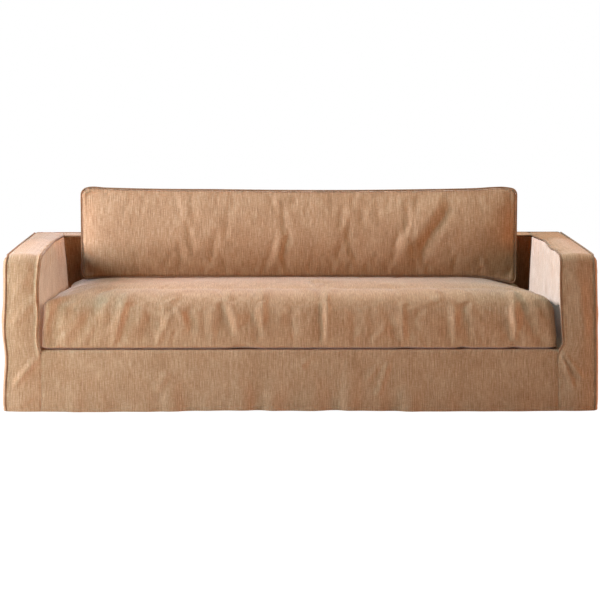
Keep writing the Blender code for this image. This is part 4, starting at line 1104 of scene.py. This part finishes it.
def back_outline(x, z):
    """Points of the upright box moved inside its round corners, and their directions outwards (x, z)."""
    core_x = np.clip(x, BACK_CORNER - BACK_HALF_LENGTH, BACK_HALF_LENGTH - BACK_CORNER)
    core_z = np.clip(z, BACK_BOTTOM + BACK_CORNER, BACK_TOP - BACK_CORNER)
    out = np.column_stack([x - core_x, z - core_z])
    size = np.linalg.norm(out, axis=1)
    inside = size < 1e-9
    plain = np.column_stack([np.zeros_like(x), np.where(z > (BACK_BOTTOM + BACK_TOP) / 2, 1.0, -1.0)])
    direction = np.where(inside[:, None], plain, out / np.where(inside, 1.0, size)[:, None])
    reach = np.abs(out).max(axis=1)
    moved_x = np.where(inside, x, core_x + direction[:, 0] * reach)
    moved_z = np.where(inside, z, core_z + direction[:, 1] * reach)
    return moved_x, moved_z, direction


def back_form(places):
    """Moves points of the back cushion's box to the crowned form."""
    x0, y0, z0 = places.T
    x, z, outwards = back_outline(x0, z0)
    up = (z0 - BACK_BOTTOM) / (BACK_TOP - BACK_BOTTOM)
    through = 2 * (y0 - BACK_FRONT) / (BACK_REAR - BACK_FRONT) - 1  # -1 on the front face, 1 on the rear
    z = z + smooth_read(BACK_TOP_EDGE, x0) * up + smooth_read(BACK_LOWER_EDGE, x0) * (1 - up)
    z = z - BACK_REAR_DROP * up * (1 + through) / 2
    low = np.clip(up, 0, 1) ** 0.85  # fullest a little below the middle
    crown = (1 - np.abs(x0 / BACK_HALF_LENGTH) ** 11) * 4 * low * (1 - low)
    front, rear = through < -0.999, through > 0.999
    relief = fold_height(x0, z0, BACK_FOLDS) * ease(crown * 3)
    from_seam = np.minimum(BACK_HALF_LENGTH - np.abs(x0), np.minimum(z0 - BACK_BOTTOM, BACK_TOP - z0))
    relief = relief + BACK_SWELL * bump(from_seam - BACK_SWELL_AT, BACK_SWELL_HALF_WIDTH)
    y = y0 - np.where(front, BACK_CROWN * crown + relief, 0.0) + np.where(rear, BACK_REAR_CROWN * crown, 0.0)
    lengthways = np.where(outwards[:, 1] > 0, BACK_UPPER_BULGE, BACK_LOWER_BULGE)
    bulge = mix(BACK_BOXING_BULGE, lengthways, np.abs(outwards[:, 1])) * (1 - through**2)
    bulge = np.where(front | rear, 0.0, bulge)
    return np.column_stack([x + outwards[:, 0] * bulge, y, z + outwards[:, 1] * bulge])


back_lines = (
    line(-BACK_HALF_LENGTH, 0.0067, BACK_CORNER - BACK_HALF_LENGTH, 0.012,
         BACK_HALF_LENGTH - BACK_CORNER, 0.0067, BACK_HALF_LENGTH),
    line(BACK_FRONT, 0.014, BACK_REAR),
    line(BACK_BOTTOM, 0.0067, BACK_BOTTOM + BACK_CORNER, 0.0115, BACK_TOP - BACK_CORNER, 0.0067, BACK_TOP),
)
back = sew_box("back_cushion_linen", back_lines, back_form)
place = coordinates(back.data)
on_seam = (np.abs(place[:, 1] - BACK_FRONT) < 0.001) | (np.abs(place[:, 1] - BACK_REAR) < 0.001)
place = blow_up(back, on_seam | (place[:, 2] < BACK_BOTTOM), slack=0.012, cap=0.003)
finish_cushion(back, place, "back_cushion")

# %% Piping of the back cushion
def cushion_seam(y):
    """The closed line of a seam of the back cushion, a little outside its edge."""
    x_line, _, z_line = back_lines
    edge = [(x, z_line[0]) for x in x_line] + [(x_line[-1], z) for z in z_line[1:]]
    edge += [(x, z_line[-1]) for x in x_line[-2::-1]] + [(x_line[0], z) for z in z_line[-2:0:-1]]
    edge = np.array(edge)
    places = np.column_stack([edge[:, 0], np.full(len(edge), y), edge[:, 1]])
    moved = back_form(places)
    direction = back_outline(edge[:, 0], edge[:, 1])[2]
    forwards = -1.0 if y == BACK_FRONT else 1.0
    reach = 0.6 * PIPE_RADIUS
    moved[:, 0] += direction[:, 0] * reach
    moved[:, 2] += direction[:, 1] * reach
    moved[:, 1] += forwards * reach
    return moved


tube("piping_back_cushion_front", cushion_seam(BACK_FRONT), "piping_cushion_front", closed=True, seed=15.0)
tube("piping_back_cushion_rear", cushion_seam(BACK_REAR), "piping_cushion_rear", closed=True, seed=18.0)

# %% [markdown]
# ## The linen
#
# Washed linen in a terracotta sand: a plain weave of uneven yarns, spun from long flax fibres. Its thick
# places, the slubs, show as pale and dark streaks, long ones along the warp and short ones across. It has
# no gloss, only the soft sheen of its fibre ends. The real threads are about 0.6 mm apart. They would
# melt into a flat tone from this distance, so the streaks are drawn a few millimetres wide.

# %% One helper to add a node
def to_linear(value):
    """One sRGB channel as a linear value."""
    return value / 12.92 if value <= 0.04045 else ((value + 0.055) / 1.055) ** 2.4


def colour(text):
    """A colour from sRGB hex, as the linear values that shaders want."""
    return (*(to_linear(int(text[i:i + 2], 16) / 255) for i in (0, 2, 4)), 1.0)


def add_node(material, kind, settings=(), **links):
    """Adds a node, sets its properties, and links or sets its inputs by name."""
    tree = material.node_tree
    node = tree.nodes.new(kind)
    for setting, value in dict(settings).items():
        setattr(node, setting, value)
    for name, value in links.items():
        socket = node.inputs[int(name[1:])] if name[0] == "_" else node.inputs[name.replace("_", " ")]
        if isinstance(value, bpy.types.NodeSocket):
            tree.links.new(value, socket)
        else:
            socket.default_value = value
    return node


def streaks(material, threads, across_mm, along_mm, detail=2.0):
    """Noise in the threads' own coordinates, stretched to the given sizes in millimetres."""
    scaled = add_node(material, "ShaderNodeVectorMath", {"operation": "MULTIPLY"}, _0=threads,
                      _1=(1000 / across_mm, 1000 / along_mm, 1.0))
    return add_node(material, "ShaderNodeTexNoise", {"noise_dimensions": "2D"}, Vector=scaled.outputs[0],
                    Scale=1.0, Detail=detail, Roughness=0.6).outputs["Fac"]


# %% Washed linen
def washed_linen(name, dark, body, pale):
    """Slubby plain-weave linen in yarn tones dark, body and pale, darker on piping as painted shade."""
    material = bpy.data.materials.new(name)
    material.use_nodes = True
    shader = material.node_tree.nodes["Principled BSDF"]
    threads = add_node(material, "ShaderNodeUVMap", {"uv_map": "threads"}).outputs[0]

    warp = streaks(material, threads, 2.8, 42.0)  # long slubs up the cloth
    weft = streaks(material, threads, 22.0, 2.6)  # short ones across it
    yarn = streaks(material, threads, 4.5, 600.0, 1.0)  # each warp yarn keeps its own tone
    cloud = streaks(material, threads, 90.0, 120.0, 3.0)  # uneven dye
    specks = streaks(material, threads, 2.8, 3.6, 1.0)  # flecks where two slubs cross

    def reckon(operation, **values):
        return add_node(material, "ShaderNodeMath", {"operation": operation}, **values).outputs[0]

    tone = reckon("MULTIPLY", _0=warp, _1=0.40)
    for part, share in ((weft, 0.20), (yarn, 0.14), (cloud, 0.14), (specks, 0.12)):
        tone = reckon("MULTIPLY_ADD", _0=part, _1=share, _2=tone)
    ramp = add_node(material, "ShaderNodeValToRGB", Fac=tone)
    stops = ramp.color_ramp.elements
    stops[0].position, stops[0].color = 0.34, colour(dark)
    stops[1].position, stops[1].color = 0.66, colour(pale)
    middle = stops.new(0.50)
    middle.color = colour(body)
    material.node_tree.links.new(ramp.outputs["Color"], shader.inputs["Base Color"])

    def ridges(axis, pitch_mm):
        along = add_node(material, "ShaderNodeSeparateXYZ", Vector=threads).outputs[axis]
        return reckon("SINE", _0=reckon("MULTIPLY", _0=along, _1=2000 * math.pi / pitch_mm))

    weave = reckon("MULTIPLY", _0=ridges(0, 1.7), _1=ridges(1, 1.9))
    height = reckon("MULTIPLY_ADD", _0=weave, _1=0.05, _2=tone)
    relief = add_node(material, "ShaderNodeBump", Strength=0.30, Distance=0.0012, Height=height)
    material.node_tree.links.new(relief.outputs[0], shader.inputs["Normal"])

    shader.inputs["Roughness"].default_value = 0.92
    shader.inputs["Specular IOR Level"].default_value = 0.25
    shader.inputs["Sheen Weight"].default_value = 0.25
    shader.inputs["Sheen Roughness"].default_value = 0.4
    shader.inputs["Sheen Tint"].default_value = colour("FFF4EA")
    return material


COVER = washed_linen("washed_linen_cover", "9A6E4A", "BA8E66", "D6B08A")
CUSHION = washed_linen("washed_linen_cushions", "9A6C48", "BC8D64", "D8B088")
# The piping is the same linen as the cover. Its darker tones are painted shade, standing in for the shadow
# in the seam grooves beside it.
SHADED_PIPING = washed_linen("washed_linen_piping_painted_shade", "7C563A", "98704E", "B28A66")
FINISHES = {"cover_linen": COVER, "cushion_linen": CUSHION, "piping_linen": SHADED_PIPING}
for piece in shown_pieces():
    if "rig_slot" in piece:
        piece.data.materials.clear()
        piece.data.materials.append(FINISHES[piece["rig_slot"]])
print("materials:", len(FINISHES))

# %% [markdown]
# ## Floor and light
#
# The floor is plain and pale. To the camera it glows as white as the world behind it, so the sofa stands
# on an even ground, but the light that it sends back to the sofa is that of pale paint.

# %% Floor
bpy.ops.object.select_all(action="DESELECT")
bpy.ops.mesh.primitive_plane_add(size=14.0, location=(0.0, -4.0, CAD_BOX[0].z - 0.0005))
floor = bpy.context.object
floor.name = "floor"
paint = bpy.data.materials.new("pale_floor_paint")
paint.use_nodes = True
paint.node_tree.nodes["Principled BSDF"].inputs["Base Color"].default_value = colour("F4F2EF")
paint.node_tree.nodes["Principled BSDF"].inputs["Roughness"].default_value = 0.9
white = add_node(paint, "ShaderNodeEmission", Color=(1.0, 1.0, 1.0, 1.0), Strength=1.15)
to_camera = add_node(paint, "ShaderNodeLightPath").outputs["Is Camera Ray"]
share = add_node(paint, "ShaderNodeMath", {"operation": "MULTIPLY"}, _0=to_camera, _1=0.85)
painted = paint.node_tree.nodes["Principled BSDF"].outputs[0]
surface = add_node(paint, "ShaderNodeMixShader", _0=share.outputs[0], _1=painted, _2=white.outputs[0])
paint.node_tree.links.new(surface.outputs[0], paint.node_tree.nodes["Material Output"].inputs["Surface"])
floor.data.materials.append(paint)

# %% [markdown]
# The light is soft and comes mostly from the left, as from a row of windows, with two ceiling lights, a
# warm wall on the right and the sky behind. In a studio, white cards are then held beside the sofa to
# lift a dull end, and black ones to keep a gap dark. Light linking does the same here: a card's light
# reaches one piece alone, and the lamps leave out the low back's face.

# %% Lights
def soft_light(name, place, aim, size, watts, tint="FFFFFF"):
    """A square area light that looks at a point."""
    bpy.ops.object.light_add(type="AREA", location=place)
    lamp = bpy.context.object
    lamp.name = name
    lamp.data.shape = "SQUARE"
    lamp.data.size = size
    lamp.data.energy = watts
    lamp.data.color = colour(tint)[:3]
    towards = np.array(aim) - np.array(place)
    tilt = math.atan2(math.hypot(towards[0], towards[1]), -towards[2])
    lamp.rotation_euler = (tilt, 0.0, math.atan2(towards[1], towards[0]) - math.pi / 2)
    return lamp


def far_light(name, azimuth, height, strength, spread, tint="FFFFFF"):
    """A light from far away. Its azimuth is 0 in front of the sofa and 90 on the right. All are degrees."""
    across, up = math.radians(azimuth), math.radians(height)
    place = (4 * math.sin(across), -4 * math.cos(across), 4 * math.tan(up))
    bpy.ops.object.light_add(type="SUN", location=place)
    lamp = bpy.context.object
    lamp.name = name
    lamp.data.energy = strength
    lamp.data.angle = math.radians(spread)
    lamp.data.color = colour(tint)[:3]
    lamp.rotation_euler = (math.pi / 2 - up, 0.0, across)
    return lamp


AIM = (0.0, -0.2, 0.45)
lamps = [
    soft_light("window_near", (-2.4, -1.6, 1.26), AIM, 0.6, 30, "BCEFFF"),
    soft_light("window_middle", (-2.6, -0.9, 1.35), AIM, 0.7, 36, "96D5FF"),
    soft_light("window_far", (-3.2, -2.2, 1.62), AIM, 0.8, 18, "FFBCA7"),
    soft_light("window_side", (-3.5, -0.6, 1.76), AIM, 0.8, 76, "FFD0D0"),
    soft_light("ceiling_left", (-1.2, -0.2, 2.6), AIM, 1.5, 27, "77C5FF"),
    soft_light("ceiling_right", (1.0, -0.2, 2.6), AIM, 1.5, 30, "D5F7FF"),
    far_light("right_wall", 85, 15, 2.1, 35, "FFAD79"),
    far_light("sky_behind", 180, 45, 1.75, 60, "FFF7F8"),
]


def collected(name, names):
    """A collection of the named pieces, for light linking."""
    group = bpy.data.collections.new(name)
    for piece in names:
        group.objects.link(bpy.data.objects[piece])
    return group


def shade(lamp, names):
    """Keeps one lamp's light off some pieces, as a black card beside them does."""
    group = collected(f"{lamp.name}_shaded", names)
    for member in group.collection_objects:
        member.light_linking.link_state = "EXCLUDE"
    lamp.light_linking.receiver_collection = group


def reflector(name, piece, blockers, azimuth, height, strength, tint):
    """A white card that throws light on one piece alone, past everything but the blockers."""
    lamp = far_light(name, azimuth, height, strength, 14, tint)
    lamp.light_linking.receiver_collection = collected(f"{name}_reaches", [piece])
    lamp.light_linking.blocker_collection = collected(f"{name}_stopped_by", blockers)
    return lamp


LEFT_ARM, RIGHT_ARM = "inner_panel_left", "inner_panel_right"
SEAT, BACK = "seat_cushion_linen", "back_cushion_linen"
for lamp in lamps:
    dark = ["low_back_face"]
    if lamp.name.startswith("window"):
        dark.append(RIGHT_ARM)
    if lamp.name == "right_wall":
        dark.append(LEFT_ARM)
    shade(lamp, dark)
reflector("card_for_right_arm", RIGHT_ARM, [SEAT], -90, 25, 12.2, "AFCBFA")
reflector("card_for_left_arm", LEFT_ARM, [SEAT], 90, 25, 3.0, "DEE6FF")
reflector("card_for_seat_end", SEAT, [SEAT, BACK], -90, -6, 3.6, "D2DCF8")
reflector("card_for_back_end", BACK, [SEAT, BACK, "side_panel_left", LEFT_ARM], -84, 6, 4.6, "D2DCF8")
for panel in (LEFT_ARM, RIGHT_ARM):
    bpy.data.objects[panel].visible_diffuse = False  # so that the bright panels don't light the gaps

# %% World
world = bpy.data.worlds.new("studio")
bpy.context.scene.world = world
world.use_nodes = True
to_camera = world.node_tree.nodes.new("ShaderNodeLightPath").outputs["Is Camera Ray"]
glow = world.node_tree.nodes["Background"]
glow.inputs["Color"].default_value = (1.0, 1.0, 1.0, 1.0)
strength = world.node_tree.nodes.new("ShaderNodeMapRange")
world.node_tree.links.new(to_camera, strength.inputs["Value"])
strength.inputs["To Min"].default_value = 0.02
strength.inputs["To Max"].default_value = 1.0
world.node_tree.links.new(strength.outputs["Result"], glow.inputs["Strength"])
bpy.context.scene.view_settings.view_transform = "Standard"
